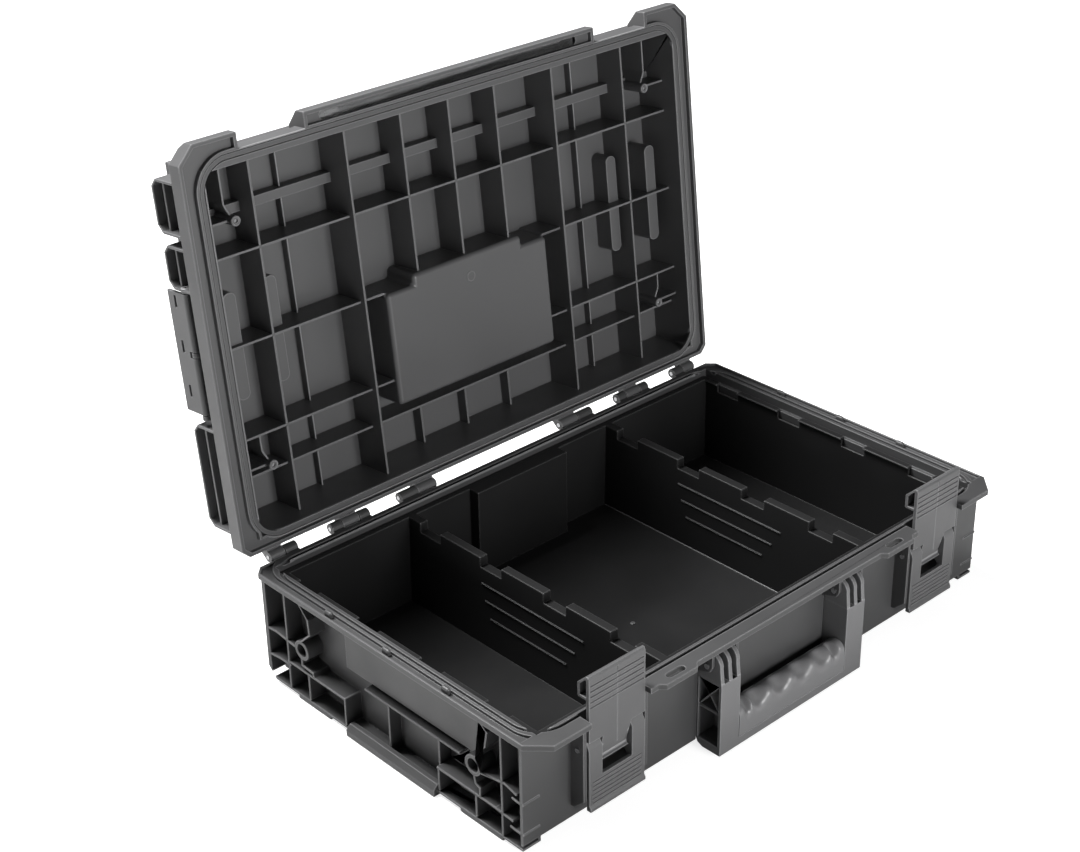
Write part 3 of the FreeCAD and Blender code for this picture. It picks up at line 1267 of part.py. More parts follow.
def side_clip():
    outer = s.clip_pin_reach + s.clip_barrel
    inner = outer - s.clip_panel
    middle = (s.clip_back - s.clip_front) / 2
    y0 = -s.clip_front + s.clip_lug + s.clip_gap
    y1 = s.clip_back - s.clip_lug - s.clip_gap
    barrels = [rod("clip_barrel", "Y", a, b, s.clip_pin_reach, s.clip_pin_z, s.clip_barrel)
               for a, b in ((y0, middle - s.clip_lug / 2 - s.clip_gap),
                            (middle + s.clip_lug / 2 + s.clip_gap, y1))]
    panel_low = s.clip_pin_z + s.clip_barrel + s.clip_gap
    webs = [block("clip_web", inner, outer, a, b, s.clip_pin_z, panel_low + s.clip_gap)
            for a, b in ((y0, middle - s.clip_lug / 2 - s.clip_gap),
                         (middle + s.clip_lug / 2 + s.clip_gap, y1))]
    panel = block("clip_panel", inner, outer, y0, y1, panel_low, s.clip_top)
    catch = block("clip_catch", inner - s.clip_catch, outer, y0 + s.clip_catch, y1 - s.clip_catch,
                  s.clip_top - s.clip_panel, s.clip_top)
    bore = rod("clip_pin_bore", "Y", y0 - over, y1 + over, s.clip_pin_reach, s.clip_pin_z,
               s.clip_pin_radius + s.pin_play)
    slots = []
    for share in CLIP_SLOT_SHARES:
        y = y0 + (y1 - y0) * share
        slots.append(block("clip_slot", inner - over, outer + over, y - s.clip_slot_length / 2,
                           y + s.clip_slot_length / 2, s.clip_slot_place - s.clip_slot_width / 2,
                           s.clip_slot_place + s.clip_slot_width / 2))
    clip = cut("side_clip", joined("clip_solid", barrels + webs + [panel, catch]), [bore] + slots)
    pin = rod("side_clip_pin", "Y", -s.clip_front, s.clip_back, s.clip_pin_reach, s.clip_pin_z,
              s.clip_pin_radius)
    for label, item in (("side_clip", clip), ("side_clip_pin", pin)):
        opened(label + "_right", item)
        opened(label + "_left", mirrored(label + "_other", item))


def build():
    base_shell()
    organizer_tray()
    lid_shell()
    lid_gasket()
    hinge_pins()
    latch_lever()
    latch_hook()
    latch_pins()
    handle_frame()
    handle_grip()
    handle_pins()
    side_clip()
    doc.recompute()


def check():
    """Stop where any object failed or any sub-part is not one valid solid."""
    failed = [item.Name for item in doc.Objects if {"Invalid", "Error"} & set(item.State)]
    if failed:
        raise RuntimeError("failed objects: " + ", ".join(failed))
    for item in NODES:
        shape = item.Shape
        if shape.isNull() or not shape.isValid() or not shape.Solids:
            raise RuntimeError("bad shape: " + item.Label)


def write():
    os.makedirs("parts", exist_ok=True)
    for item in NODES:
        item.Shape.exportStep(os.path.join("parts", item.Label + ".step"))
        box = item.Shape.BoundBox
        print(f"{item.Label}: {len(item.Shape.Solids)} solid(s), volume {item.Shape.Volume:.0f}, "
              f"x {box.XMin:.1f}..{box.XMax:.1f} y {box.YMin:.1f}..{box.YMax:.1f} "
              f"z {box.ZMin:.1f}..{box.ZMax:.1f}")


build()
check()
write()
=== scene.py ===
"""Looks of an open hard tool case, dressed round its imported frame."""

import json
import logging
import math
from collections.abc import Callable
from dataclasses import dataclass
from enum import Enum

import bmesh
import bpy
from mathutils import Matrix, Vector


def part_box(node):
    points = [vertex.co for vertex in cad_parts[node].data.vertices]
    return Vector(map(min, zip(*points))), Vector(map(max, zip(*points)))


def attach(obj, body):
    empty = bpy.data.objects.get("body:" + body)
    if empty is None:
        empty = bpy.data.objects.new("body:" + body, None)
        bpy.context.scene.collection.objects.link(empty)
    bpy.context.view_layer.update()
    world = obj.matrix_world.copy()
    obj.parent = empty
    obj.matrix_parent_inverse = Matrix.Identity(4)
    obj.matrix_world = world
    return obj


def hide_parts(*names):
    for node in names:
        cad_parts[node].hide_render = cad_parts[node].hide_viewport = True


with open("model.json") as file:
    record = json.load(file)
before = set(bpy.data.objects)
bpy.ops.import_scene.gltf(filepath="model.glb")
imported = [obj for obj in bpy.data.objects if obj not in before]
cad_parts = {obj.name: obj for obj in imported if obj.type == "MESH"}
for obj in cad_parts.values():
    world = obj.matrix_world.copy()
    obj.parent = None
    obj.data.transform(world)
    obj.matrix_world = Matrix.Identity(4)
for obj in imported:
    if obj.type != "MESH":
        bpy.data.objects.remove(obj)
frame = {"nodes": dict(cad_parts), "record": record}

LOG = logging.getLogger("hard_tool_case")
MM = 0.001
# How far under a surface the painted edge highlight looks for thin material
EDGE_HIGHLIGHT_DEPTH = 1.4 * MM
GRAIN_DEPTH = 0.2 * MM
MERGE_REACH = 0.01 * MM

# The photograph's frame and the camera that was fitted to it
IMAGE_WIDTH_PX = 1080
IMAGE_HEIGHT_PX = 852
FOCAL_PX = 1968.07
CENTRE_X_PX = 552.48
CENTRE_Y_PX = 409.53


class Side(Enum):
    """The two sides of the case, as the sign of X."""

    LEFT = -1
    RIGHT = 1

    @property
    def word(self) -> str:
        """The side's name as the nodes' names give it."""
        return self.name.lower()


class Body(Enum):
    """The moving bodies of the frame."""

    BASE = "case_base"
    LID = "lid"
    HANDLE = "handle"


def deselect_all() -> None:
    """Leave nothing selected, so that an operator acts only on the new piece."""
    if bpy.context.mode != "OBJECT":
        bpy.ops.object.mode_set(mode="OBJECT")
    bpy.ops.object.select_all(action="DESELECT")


def pick(item: bpy.types.Object) -> None:
    """Make one object the only selected one and the active one.

    Args:
        item: the object.
    """
    deselect_all()
    item.select_set(True)
    bpy.context.view_layer.objects.active = item


def settle(item: bpy.types.Object) -> None:
    """Put an object's place, turn and size into its mesh.

    Args:
        item: the object.
    """
    pick(item)
    bpy.ops.object.transform_apply(location=True, rotation=True, scale=True)


def apply_all(item: bpy.types.Object) -> None:
    """Apply every modifier of an object in order.

    Args:
        item: the object.
    """
    pick(item)
    for modifier in list(item.modifiers):
        bpy.ops.object.modifier_apply(modifier=modifier.name)


def join(items: list[bpy.types.Object], name: str) -> bpy.types.Object:
    """Join several mesh objects into one.

    Args:
        items: the objects; the first keeps its materials.
        name: the name of the joined piece.

    Returns:
        The joined object.
    """
    deselect_all()
    for item in items:
        item.select_set(True)
    bpy.context.view_layer.objects.active = items[0]
    if len(items) > 1:
        bpy.ops.object.join()
    items[0].name = name
    return items[0]


def duplicate(item: bpy.types.Object, name: str) -> bpy.types.Object:
    """A copy of an object with a mesh of its own.

    Args:
        item: the object to copy.
        name: the copy's name.

    Returns:
        The copy, linked to the scene.
    """
    copy = item.copy()
    copy.data = item.data.copy()
    copy.name = name
    bpy.context.scene.collection.objects.link(copy)
    return copy


def add_block(name: str, low: tuple[float, float, float],
              high: tuple[float, float, float]) -> bpy.types.Object:
    """A block between two corners.

    Args:
        name: the piece's name.
        low: its lowest corner in metres.
        high: its highest corner in metres.

    Returns:
        The block, with its place in its mesh.
    """
    first, last = Vector(low), Vector(high)
    deselect_all()
    bpy.ops.mesh.primitive_cube_add(size=1.0, location=(first + last) / 2, scale=last - first)
    item = bpy.context.active_object
    item.name = name
    settle(item)
    return item


def add_rod(name: str, start: tuple[float, float, float], end: tuple[float, float, float],
            radius: float, sides: int = 20) -> bpy.types.Object:
    """A round bar between two points.

    Args:
        name: the piece's name.
        start: the middle of its first end, in metres.
        end: the middle of its last end.
        radius: its radius.
        sides: its flat sides.

    Returns:
        The bar, with its place in its mesh.
    """
    first, last = Vector(start), Vector(end)
    way = last - first
    deselect_all()
    bpy.ops.mesh.primitive_cylinder_add(vertices=sides, radius=radius, depth=way.length,
                                        location=(first + last) / 2)
    item = bpy.context.active_object
    item.name = name
    item.rotation_euler = way.to_track_quat("Z", "Y").to_euler()
    settle(item)
    return item


def round_edges(item: bpy.types.Object, radius: float, segments: int = 2,
                angle: float = 30.0) -> None:
    """Round the sharp edges of a piece and shade its large faces flat.

    Args:
        item: the piece.
        radius: the rounding in metres.
        segments: steps of the rounding.
        angle: edges sharper than this, in degrees, are rounded.
    """
    bevel = item.modifiers.new("rounded_edges", "BEVEL")
    bevel.limit_method = "ANGLE"
    bevel.angle_limit = math.radians(angle)
    bevel.width = radius
    bevel.segments = segments
    bevel.use_clamp_overlap = False
    bevel.miter_outer = "MITER_SHARP"
    pick(item)
    bpy.ops.object.shade_smooth()
    flat = item.modifiers.new("flat_faces", "WEIGHTED_NORMAL")
    flat.mode = "FACE_AREA"
    flat.weight = 80
    flat.keep_sharp = False
    apply_all(item)


def add_ribbon(name: str, path: list[tuple[float, float]], low: float, high: float,
               thickness: float) -> bpy.types.Object:
    """An upright thin wall that follows a path seen from above.

    Args:
        name: the piece's name.
        path: the path's points as (x, y), evenly spaced, in metres.
        low: the wall's lowest height.
        high: its highest height.
        thickness: its thickness.

    Returns:
        The wall.
    """
    deselect_all()
    bpy.ops.mesh.primitive_grid_add(x_subdivisions=len(path) * 2, y_subdivisions=2, size=1.0)
    item = bpy.context.active_object
    item.name = name
    last = len(path) - 1
    for vertex in item.data.vertices:
        place = (vertex.co.x + 0.5) * last
        index = min(int(place), last - 1)
        part = place - index
        (x0, y0), (x1, y1) = path[index], path[index + 1]
        height = low + (high - low) * (vertex.co.y + 0.5)
        vertex.co = (x0 + (x1 - x0) * part, y0 + (y1 - y0) * part, height)
    wall = item.modifiers.new("wall", "SOLIDIFY")
    wall.thickness = thickness
    wall.offset = 0.0
    apply_all(item)
    return item


def ring_point(points: list[tuple[float, float]], share: float) -> tuple[float, float]:
    """A point of the smooth closed curve through a ring of points.

    Args:
        points: the ring's points.
        share: how far round the ring, from 0 to 1.

    Returns:
        The point's two coordinates.
    """
    count = len(points)
    place = share * count
    index = int(place) % count
    t = place - int(place)
    near = [points[(index - 1 + step) % count] for step in range(4)]
    first, second = (
        0.5 * (2 * b + (c - a) * t + (2 * a - 5 * b + 4 * c - d) * t ** 2
               + (3 * b - a - 3 * c + d) * t ** 3)
        for a, b, c, d in zip(*near))
    return first, second


def select_edges(item: bpy.types.Object, wanted: Callable[[bmesh.types.BMEdge], bool]) -> None:
    """Enter edit mode with only some edges of a mesh selected.

    Args:
        item: the object.
        wanted: says whether an edge is to be selected.
    """
    pick(item)
    bpy.ops.object.mode_set(mode="EDIT")
    bpy.ops.mesh.select_mode(type="EDGE")
    bpy.ops.mesh.select_all(action="DESELECT")
    mesh = bmesh.from_edit_mesh(item.data)
    for edge in mesh.edges:
        edge.select_set(wanted(edge))
    bmesh.update_edit_mesh(item.data)


def select_faces(item: bpy.types.Object, wanted: Callable[[bmesh.types.BMFace], bool]) -> None:
    """Enter edit mode with only some faces of a mesh selected.

    Args:
        item: the object.
        wanted: says whether a face is to be selected.
    """
    pick(item)
    bpy.ops.object.mode_set(mode="EDIT")
    bpy.ops.mesh.select_mode(type="FACE")
    bpy.ops.mesh.select_all(action="DESELECT")
    mesh = bmesh.from_edit_mesh(item.data)
    for face in mesh.faces:
        face.select_set(wanted(face))
    bmesh.update_edit_mesh(item.data)


def is_corner(edge: bmesh.types.BMEdge, least: float = 45.0) -> bool:
    """Whether an edge joins two faces at a sharp angle."""
    return len(edge.link_faces) == 2 and edge.calc_face_angle(0.0) > math.radians(least)


class LidHinge:
    """The lid's hinge: it turns what is drawn on the closed lid to the open lid's place."""

    def __init__(self) -> None:
        """Read the hinge's place and travel from the frame's record."""
        joints = frame["record"]["behaviour"]["joints"]
        hinge = next(joint for joint in joints if joint["name"] == "lid_hinge")
        pivot = Vector(hinge["pos_m"])
        turn = Matrix.Rotation(math.radians(-hinge["range_deg"][1]), 4, "X")
        self.opening = Matrix.Translation(pivot) @ turn @ Matrix.Translation(-pivot)
        self.closing = self.opening.inverted()

    def open_up(self, item: bpy.types.Object) -> None:
        """Turn a piece that was drawn on the closed lid."""
        item.data.transform(self.opening)


@dataclass(frozen=True)
class Socket:
    """One named input or output of a shader group."""

    name: str
    kind: str
    value: float | tuple[float, ...] | None = None
    is_output: bool = False


class ShaderGroup:
    """A node group that several finishes share."""

    def __init__(self, name: str, sockets: list[Socket]) -> None:
        """Make the group with its sockets and its two ends.

        Args:
            name: the group's name.
            sockets: its inputs and outputs, in order.
        """
        self.tree = bpy.data.node_groups.new(name, "ShaderNodeTree")
        for socket in sockets:
            way = "OUTPUT" if socket.is_output else "INPUT"
            made = self.tree.interface.new_socket(socket.name, in_out=way, socket_type=socket.kind)
            if socket.value is not None:
                made.default_value = socket.value
        self.start = self.tree.nodes.new("NodeGroupInput")
        self.end = self.tree.nodes.new("NodeGroupOutput")

    def node(self, kind: str, **settings: object) -> bpy.types.Node:
        """Add a node and set its options and inputs.

        Args:
            kind: the node's type.
            settings: options by name, or an input's value by its name with a leading underscore
                and underscores for spaces.

        Returns:
            The node.
        """
        return add_node(self.tree, kind, **settings)

    def link(self, source: bpy.types.NodeSocket, target: bpy.types.NodeSocket) -> None:
        """Join an output to an input."""
        self.tree.links.new(source, target)


def add_node(tree: bpy.types.NodeTree, kind: str, **settings: object) -> bpy.types.Node:
    """Add a node to a tree and set its options and inputs.

    Args:
        tree: the node tree.
        kind: the node's type.
        settings: options by name, or an input's value by its name with a leading underscore
            and underscores for spaces.

    Returns:
        The node.
    """
    node = tree.nodes.new(kind)
    for word, value in settings.items():
        if word.startswith("_"):
            node.inputs[word[1:].replace("_", " ")].default_value = value
        else:
            setattr(node, word, value)
    return node


class GrainGroup(ShaderGroup):
    """Fine moulded grain: a height for the bump and a mask for gloss."""

    def __init__(self) -> None:
        """Build the two layers of noise and their sum."""
        super().__init__("moulded_grain", [
            Socket("Fineness", "NodeSocketFloat", 1400.0),
            Socket("Flow", "NodeSocketFloat", 14.0),
            Socket("Height", "NodeSocketFloat", is_output=True),
            Socket("Gloss", "NodeSocketFloat", is_output=True),
        ])
        place = self.node("ShaderNodeTexCoord")
        fine = self.node("ShaderNodeTexNoise", _Detail=3.0, _Roughness=0.6)
        flow = self.node("ShaderNodeTexNoise", _Detail=4.0, _Roughness=0.55)
        gloss = self.node("ShaderNodeMapRange", _From_Min=0.3, _From_Max=0.7)
        self.link(place.outputs["Object"], fine.inputs["Vector"])
        self.link(place.outputs["Object"], flow.inputs["Vector"])
        self.link(self.start.outputs["Fineness"], fine.inputs["Scale"])
        self.link(self.start.outputs["Flow"], flow.inputs["Scale"])
        self.link(fine.outputs["Fac"], self.end.inputs["Height"])
        self.link(flow.outputs["Fac"], gloss.inputs["Value"])
        self.link(gloss.outputs["Result"], self.end.inputs["Gloss"])


class EdgeHighlightAndDustGroup(ShaderGroup):
    """Painted highlight along edges, and a trace of dust on faces that look up."""

    def __init__(self) -> None:
        """Build the painted edge highlight's mask from the thickness under the surface, and the dust
        mask.
        """
        super().__init__("edge_highlight_and_dust", [
            Socket("Base", "NodeSocketColor", (0.02, 0.02, 0.02, 1.0)),
            Socket("Edge", "NodeSocketColor", (0.08, 0.08, 0.08, 1.0)),
            Socket("Dust", "NodeSocketColor", (0.12, 0.12, 0.12, 1.0)),
            Socket("Edge Amount", "NodeSocketFloat", 0.5),
            Socket("Dust Amount", "NodeSocketFloat", 0.15),
            Socket("Color", "NodeSocketColor", is_output=True),
        ])
        shape = self.node("ShaderNodeNewGeometry")
        place = self.node("ShaderNodeTexCoord")
        inside = self.node("ShaderNodeAmbientOcclusion", samples=8, inside=True, only_local=True,
                           _Distance=EDGE_HIGHLIGHT_DEPTH)
        edge = self.node("ShaderNodeMapRange", _From_Min=0.9, _From_Max=0.55)
        up = self.node("ShaderNodeSeparateXYZ")
        facing = self.node("ShaderNodeMapRange", _From_Min=0.3, _From_Max=1.0)
        noise = self.node("ShaderNodeTexNoise", _Scale=9.0, _Detail=5.0)
        speck = self.node("ShaderNodeMapRange", _From_Min=0.45, _From_Max=0.75)
        edge_share = self.node("ShaderNodeMath", operation="MULTIPLY")
        dust_share = self.node("ShaderNodeMath", operation="MULTIPLY")
        dust_patch = self.node("ShaderNodeMath", operation="MULTIPLY")
        edged = self.node("ShaderNodeMix", data_type="RGBA")
        dusted = self.node("ShaderNodeMix", data_type="RGBA")
        self.link(inside.outputs["AO"], edge.inputs["Value"])
        self.link(shape.outputs["Normal"], up.inputs["Vector"])
        self.link(up.outputs["Z"], facing.inputs["Value"])
        self.link(place.outputs["Object"], noise.inputs["Vector"])
        self.link(noise.outputs["Fac"], speck.inputs["Value"])
        self.link(edge.outputs["Result"], edge_share.inputs[0])
        self.link(self.start.outputs["Edge Amount"], edge_share.inputs[1])
        self.link(facing.outputs["Result"], dust_patch.inputs[0])
        self.link(speck.outputs["Result"], dust_patch.inputs[1])
        self.link(dust_patch.outputs["Value"], dust_share.inputs[0])
        self.link(self.start.outputs["Dust Amount"], dust_share.inputs[1])
        self.link(edge_share.outputs["Value"], edged.inputs["Factor"])
        self.link(self.start.outputs["Base"], edged.inputs["A"])
        self.link(self.start.outputs["Edge"], edged.inputs["B"])
        self.link(dust_share.outputs["Value"], dusted.inputs["Factor"])
        self.link(edged.outputs["Result"], dusted.inputs["A"])
        self.link(self.start.outputs["Dust"], dusted.inputs["B"])
        self.link(dusted.outputs["Result"], self.end.inputs["Color"])


@dataclass(frozen=True)
class Finish:
    """One finish of the case, with the grey of a painted highlight along its edges."""

    name: str
    slot: str
    base: float
    # edge is the grey of the painted highlight along edges; edge_amount is how strongly it is painted
    edge: float
    dust: float = 0.14
    edge_amount: float = 0.5
    dust_amount: float = 0.12
    roughness: float = 0.45
    gloss_spread: float = 0.08
    specular: float = 0.5
    metallic: float = 0.0
    grain_fineness: float = 1400.0
    grain_flow: float = 14.0
    grain_height: float = 0.12
    tint: tuple[float, float, float] = (1.0, 1.0, 1.02)

    def shade(self, level: float) -> tuple[float, float, float, float]:
        """A grey of this finish's tint.

        Args:
            level: the grey, linear.

        Returns:
            The colour with full alpha.
        """
        red, green, blue = self.tint
        return (level * red, level * green, level * blue, 1.0)

    def build(self, grain: GrainGroup, highlight_and_dust: EdgeHighlightAndDustGroup) -> bpy.types.Material:
        """Make the material.

        Args:
            grain: the shared grain group.
            highlight_and_dust: the shared group that paints a highlight along edges and adds dust.

        Returns:
            The material.
        """
        material = bpy.data.materials.new(self.name)
        material.use_nodes = True
        tree = material.node_tree
        shader = tree.nodes["Principled BSDF"]
        shader.inputs["Metallic"].default_value = self.metallic
        shader.inputs["Specular IOR Level"].default_value = self.specular
        texture = add_node(tree, "ShaderNodeGroup", node_tree=grain.tree,
                           _Fineness=self.grain_fineness, _Flow=self.grain_flow)
        # Base colour with a painted highlight along edges and dust on faces that look up
        highlighted_and_dusted = add_node(tree, "ShaderNodeGroup", node_tree=highlight_and_dust.tree, _Base=self.shade(self.base),
                        _Edge=self.shade(self.edge), _Dust=self.shade(self.dust),
                        _Edge_Amount=self.edge_amount, _Dust_Amount=self.dust_amount)
        gloss = add_node(tree, "ShaderNodeMapRange", _To_Min=self.roughness - self.gloss_spread,
                         _To_Max=self.roughness + self.gloss_spread)
        bump = add_node(tree, "ShaderNodeBump", _Strength=self.grain_height, _Distance=GRAIN_DEPTH)
        tree.links.new(highlighted_and_dusted.outputs["Color"], shader.inputs["Base Color"])
        tree.links.new(texture.outputs["Gloss"], gloss.inputs["Value"])
        tree.links.new(gloss.outputs["Result"], shader.inputs["Roughness"])
        tree.links.new(texture.outputs["Height"], bump.inputs["Height"])
        tree.links.new(bump.outputs["Normal"], shader.inputs["Normal"])
        return material


SHELL_PLASTIC = Finish("shell_plastic_finish", "shell_plastic", base=0.045, edge=0.21,
                       dust=0.16, edge_amount=0.85, roughness=0.44)
# The shell's plastic painted lighter for the lid: painted light on the lid
LID_PLASTIC_PAINTED_LIGHT = Finish("lid_plastic_painted_light_finish", "shell_plastic", base=0.085, edge=0.28,
                     dust=0.16, edge_amount=0.85, roughness=0.44)
TRAY_PLASTIC = Finish("tray_plastic_finish", "tray_plastic", base=0.013, edge=0.13,
                      dust=0.04, edge_amount=0.85, roughness=0.42, specular=0.2)
# The insert's plastic painted lighter: a painted highlight on the divider ridges and the floor bead; the
# floor mark is dressed in it too
RIDGE_PAINTED_HIGHLIGHT = Finish("ridge_painted_highlight_finish", "tray_plastic", base=0.06, edge=0.13,
                       dust=0.1, edge_amount=0.85, roughness=0.4)
LATCH_PLASTIC = Finish("latch_plastic_finish", "latch_plastic", base=0.08, edge=0.32,
                         dust=0.25, edge_amount=0.5, roughness=0.42)
# The latches' plastic painted lighter for the handle's arms: painted light on the arms
ARM_PLASTIC_PAINTED_LIGHT = Finish("arm_plastic_painted_light_finish", "latch_plastic", base=0.125, edge=0.34,
                     dust=0.22, edge_amount=0.7, roughness=0.45)
GRIP_RUBBER = Finish("grip_rubber_finish", "grip_rubber", base=0.15, edge=0.22,
                     dust=0.2, roughness=0.34, grain_height=0.1)
SEAL_RUBBER = Finish("seal_rubber_finish", "seal_rubber", base=0.07, edge=0.2,
                     edge_amount=0.8, roughness=0.5)
PIN_STEEL = Finish("pin_steel_finish", "pin_steel", base=0.42, edge=0.6, roughness=0.3,
                   metallic=1.0, grain_height=0.05, dust_amount=0.0)
FINISHES = (SHELL_PLASTIC, LID_PLASTIC_PAINTED_LIGHT, TRAY_PLASTIC, RIDGE_PAINTED_HIGHLIGHT, LATCH_PLASTIC, ARM_PLASTIC_PAINTED_LIGHT,
            GRIP_RUBBER, SEAL_RUBBER, PIN_STEEL)


class Workshop:
    """Holds the materials and makes pieces out of the frame's nodes."""

    def __init__(self) -> None:
        """Build the shared groups and one material for each finish."""
        grain = GrainGroup()
        highlight_and_dust = EdgeHighlightAndDustGroup()
        self.materials = {finish.name: finish.build(grain, highlight_and_dust) for finish in FINISHES}
        self.pieces: list[str] = []

    def dress(self, item: bpy.types.Object, finish: Finish) -> None:
        """Give an object one finish all over.

        Args:
            item: the object.
            finish: its finish.
        """
        item.data.materials.clear()
        item.data.materials.append(self.materials[finish.name])

    def smooth(self, item: bpy.types.Object, angle: float = 32.0) -> None:
        """Smooth a mesh where its faces meet at less than an angle.

        Args:
            item: the object.
            angle: the largest smoothed angle in degrees.
        """
        pick(item)
        bpy.ops.object.shade_smooth_by_angle(angle=math.radians(angle))

    def finish_piece(self, item: bpy.types.Object, finish: Finish, body: str,
                     *nodes: str) -> bpy.types.Object:
        """Dress a finished piece, hang it on its body and hide the nodes that it stands for.

        Args:
            item: the piece, with its place in its mesh.
            finish: its finish.
            body: the body that it rides on.
            nodes: the nodes of the frame that it replaces.

        Returns:
            The piece.
        """
        self.dress(item, finish)
        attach(item, body)
        if nodes:
            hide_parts(*nodes)
        self.pieces.append(item.name)
        LOG.info("%s: %d faces on %s", item.name, len(item.data.polygons), body)
        return item

    def casting(self, node: str, name: str, radius: float, angle: float = 30.0,
                reshape: Callable[[bpy.types.Object], None] | None = None) -> bpy.types.Object:
        """A moulded copy of a node, with its edges rounded.

        Args:
            node: the node's name.
            name: the piece's name.
            radius: the edges' rounding in metres.
            angle: edges sharper than this, in degrees, are rounded.
            reshape: changes the merged copy before its edges are rounded.

        Returns:
            The piece, not yet dressed.
        """
        item = duplicate(frame["nodes"][node], name)
        item.parent = None
        for word in list(item.keys()):
            del item[word]
        pick(item)
        bpy.ops.object.mode_set(mode="EDIT")
        bpy.ops.mesh.select_all(action="SELECT")
        bpy.ops.mesh.remove_doubles(threshold=MERGE_REACH)
        bpy.ops.mesh.dissolve_limited(angle_limit=math.radians(0.5))
        bpy.ops.object.mode_set(mode="OBJECT")
        if reshape:
            reshape(item)
            if bpy.context.mode != "OBJECT":
                bpy.ops.object.mode_set(mode="OBJECT")
        round_edges(item, radius, angle=angle)
        self.keep_inside(item, node)
        return item

    def keep_inside(self, item: bpy.types.Object, node: str) -> None:
        """Hold a piece within the box of the node that it stands for.

        Args:
            item: the piece, with its place in its mesh.
            node: the node's name.
        """
        low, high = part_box(node)
        for vertex in item.data.vertices:
            vertex.co = [min(max(value, least), most)
                         for value, least, most in zip(vertex.co, low, high)]


@dataclass
class BaseShell:
    """The tub with its flange, and the small nubs that guide the lid's rim."""

    shop: Workshop
    edge_radius: float = 0.5 * MM
    nub_radius: float = 2.2 * MM
    nub_length: float = 9.0 * MM
    nub_inset: float = 5.4 * MM
    nub_top: float = 111.9 * MM
    nub_root: float = 105.6 * MM
    seal_to_flange: float = 13.3 * MM
    nub_places: tuple[float, ...] = (67.7 * MM, -8.2 * MM, -82.2 * MM)

    def build(self) -> None:
        """Make the shell and its nubs."""
        shell = self.shop.casting("base_shell", "base_moulding", self.edge_radius)
        self.shop.finish_piece(shell, SHELL_PLASTIC, Body.BASE.value, "base_shell")
        low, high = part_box("lid_gasket")
        flange_half = (high[0] - low[0]) / 2 + self.seal_to_flange
        for side in Side:
            nubs = []
            for place in self.nub_places:
                x = side.value * (flange_half - self.nub_inset)
                nub = add_block("nub", (x - self.nub_radius, place - self.nub_length / 2, self.nub_root),
                                (x + self.nub_radius, place + self.nub_length / 2, self.nub_top))
                round_edges(nub, self.nub_radius * 0.9, segments=4)
                nubs.append(nub)
            piece = join(nubs, f"rim_nubs_{side.word}")
            self.shop.finish_piece(piece, SHELL_PLASTIC, Body.BASE.value)


@dataclass
class OrganizerInsert:
    """The insert with three compartments, its dividers' ridges and a moulding mark."""

    shop: Workshop
    edge_radius: float = 0.8 * MM
    divider_place: float = 126.0 * MM
    divider_half: float = 4.5 * MM
    divider_flare: float = 2.0 * MM
    ridge_radius: float = 0.9 * MM
    top: float = 102.0 * MM
    front: float = -172.5 * MM
    depth: float = 330.5 * MM
    ridge_shares: tuple[tuple[float, float, float], ...] = (
        (0.29, 0.68, 0.75), (0.32, 0.667, 0.588), (0.352, 0.646, 0.431))
    mark_place: tuple[float, float] = (-13.0 * MM, -19.0 * MM)
    mark_radius: float = 2.4 * MM
    floor: float = 13.0 * MM
    bead_share: tuple[float, float] = (0.02, 0.98)

    def build(self) -> None:
        """Make the insert, its ridges and its mark."""
        tray = self.shop.casting("organizer_tray", "insert_moulding", self.edge_radius)
        self.shop.finish_piece(tray, TRAY_PLASTIC, Body.BASE.value, "organizer_tray")
        for side in Side:
            bars = [self.ridge(side, *shares) for shares in self.ridge_shares]
            # On the right, a bead along the floor's joint with the divider carries a painted highlight
            # along that joint
            if side is Side.RIGHT:
                bars.append(self.ridge(side, *self.bead_share, self.floor / self.top))
            self.shop.finish_piece(join(bars, f"divider_ridges_{side.word}"), RIDGE_PAINTED_HIGHLIGHT,
                                   Body.BASE.value)
        self.shop.finish_piece(self.mark(), RIDGE_PAINTED_HIGHLIGHT, Body.BASE.value)

    def ridge(self, side: Side, first: float, last: float, height: float) -> bpy.types.Object:
        """One long ridge on the left face of a divider.

        Args:
            side: the divider.
            first: where the ridge starts, as a share of the depth.
            last: where it ends.
            height: its height as a share of the insert's top.

        Returns:
            The ridge.
        """
        x = side.value * self.divider_place - self.divider_half - self.divider_flare * (1 - height)
        z = self.top * height
        start = (x, self.front + self.depth * first, z)
        end = (x, self.front + self.depth * last, z)
        bar = add_rod("ridge", start, end, self.ridge_radius, sides=12)
        round_edges(bar, self.ridge_radius * 0.5, angle=60.0)
        return bar

    def mark(self) -> bpy.types.Object:
        """The round mark that the moulding gate left on the middle floor."""
        x, y = self.mark_place
        disc = add_rod("floor_mark", (x, y, self.floor - self.mark_radius),
                       (x, y, self.floor + self.mark_radius * 0.3), self.mark_radius)
        round_edges(disc, self.mark_radius * 0.25, segments=3)
        return disc


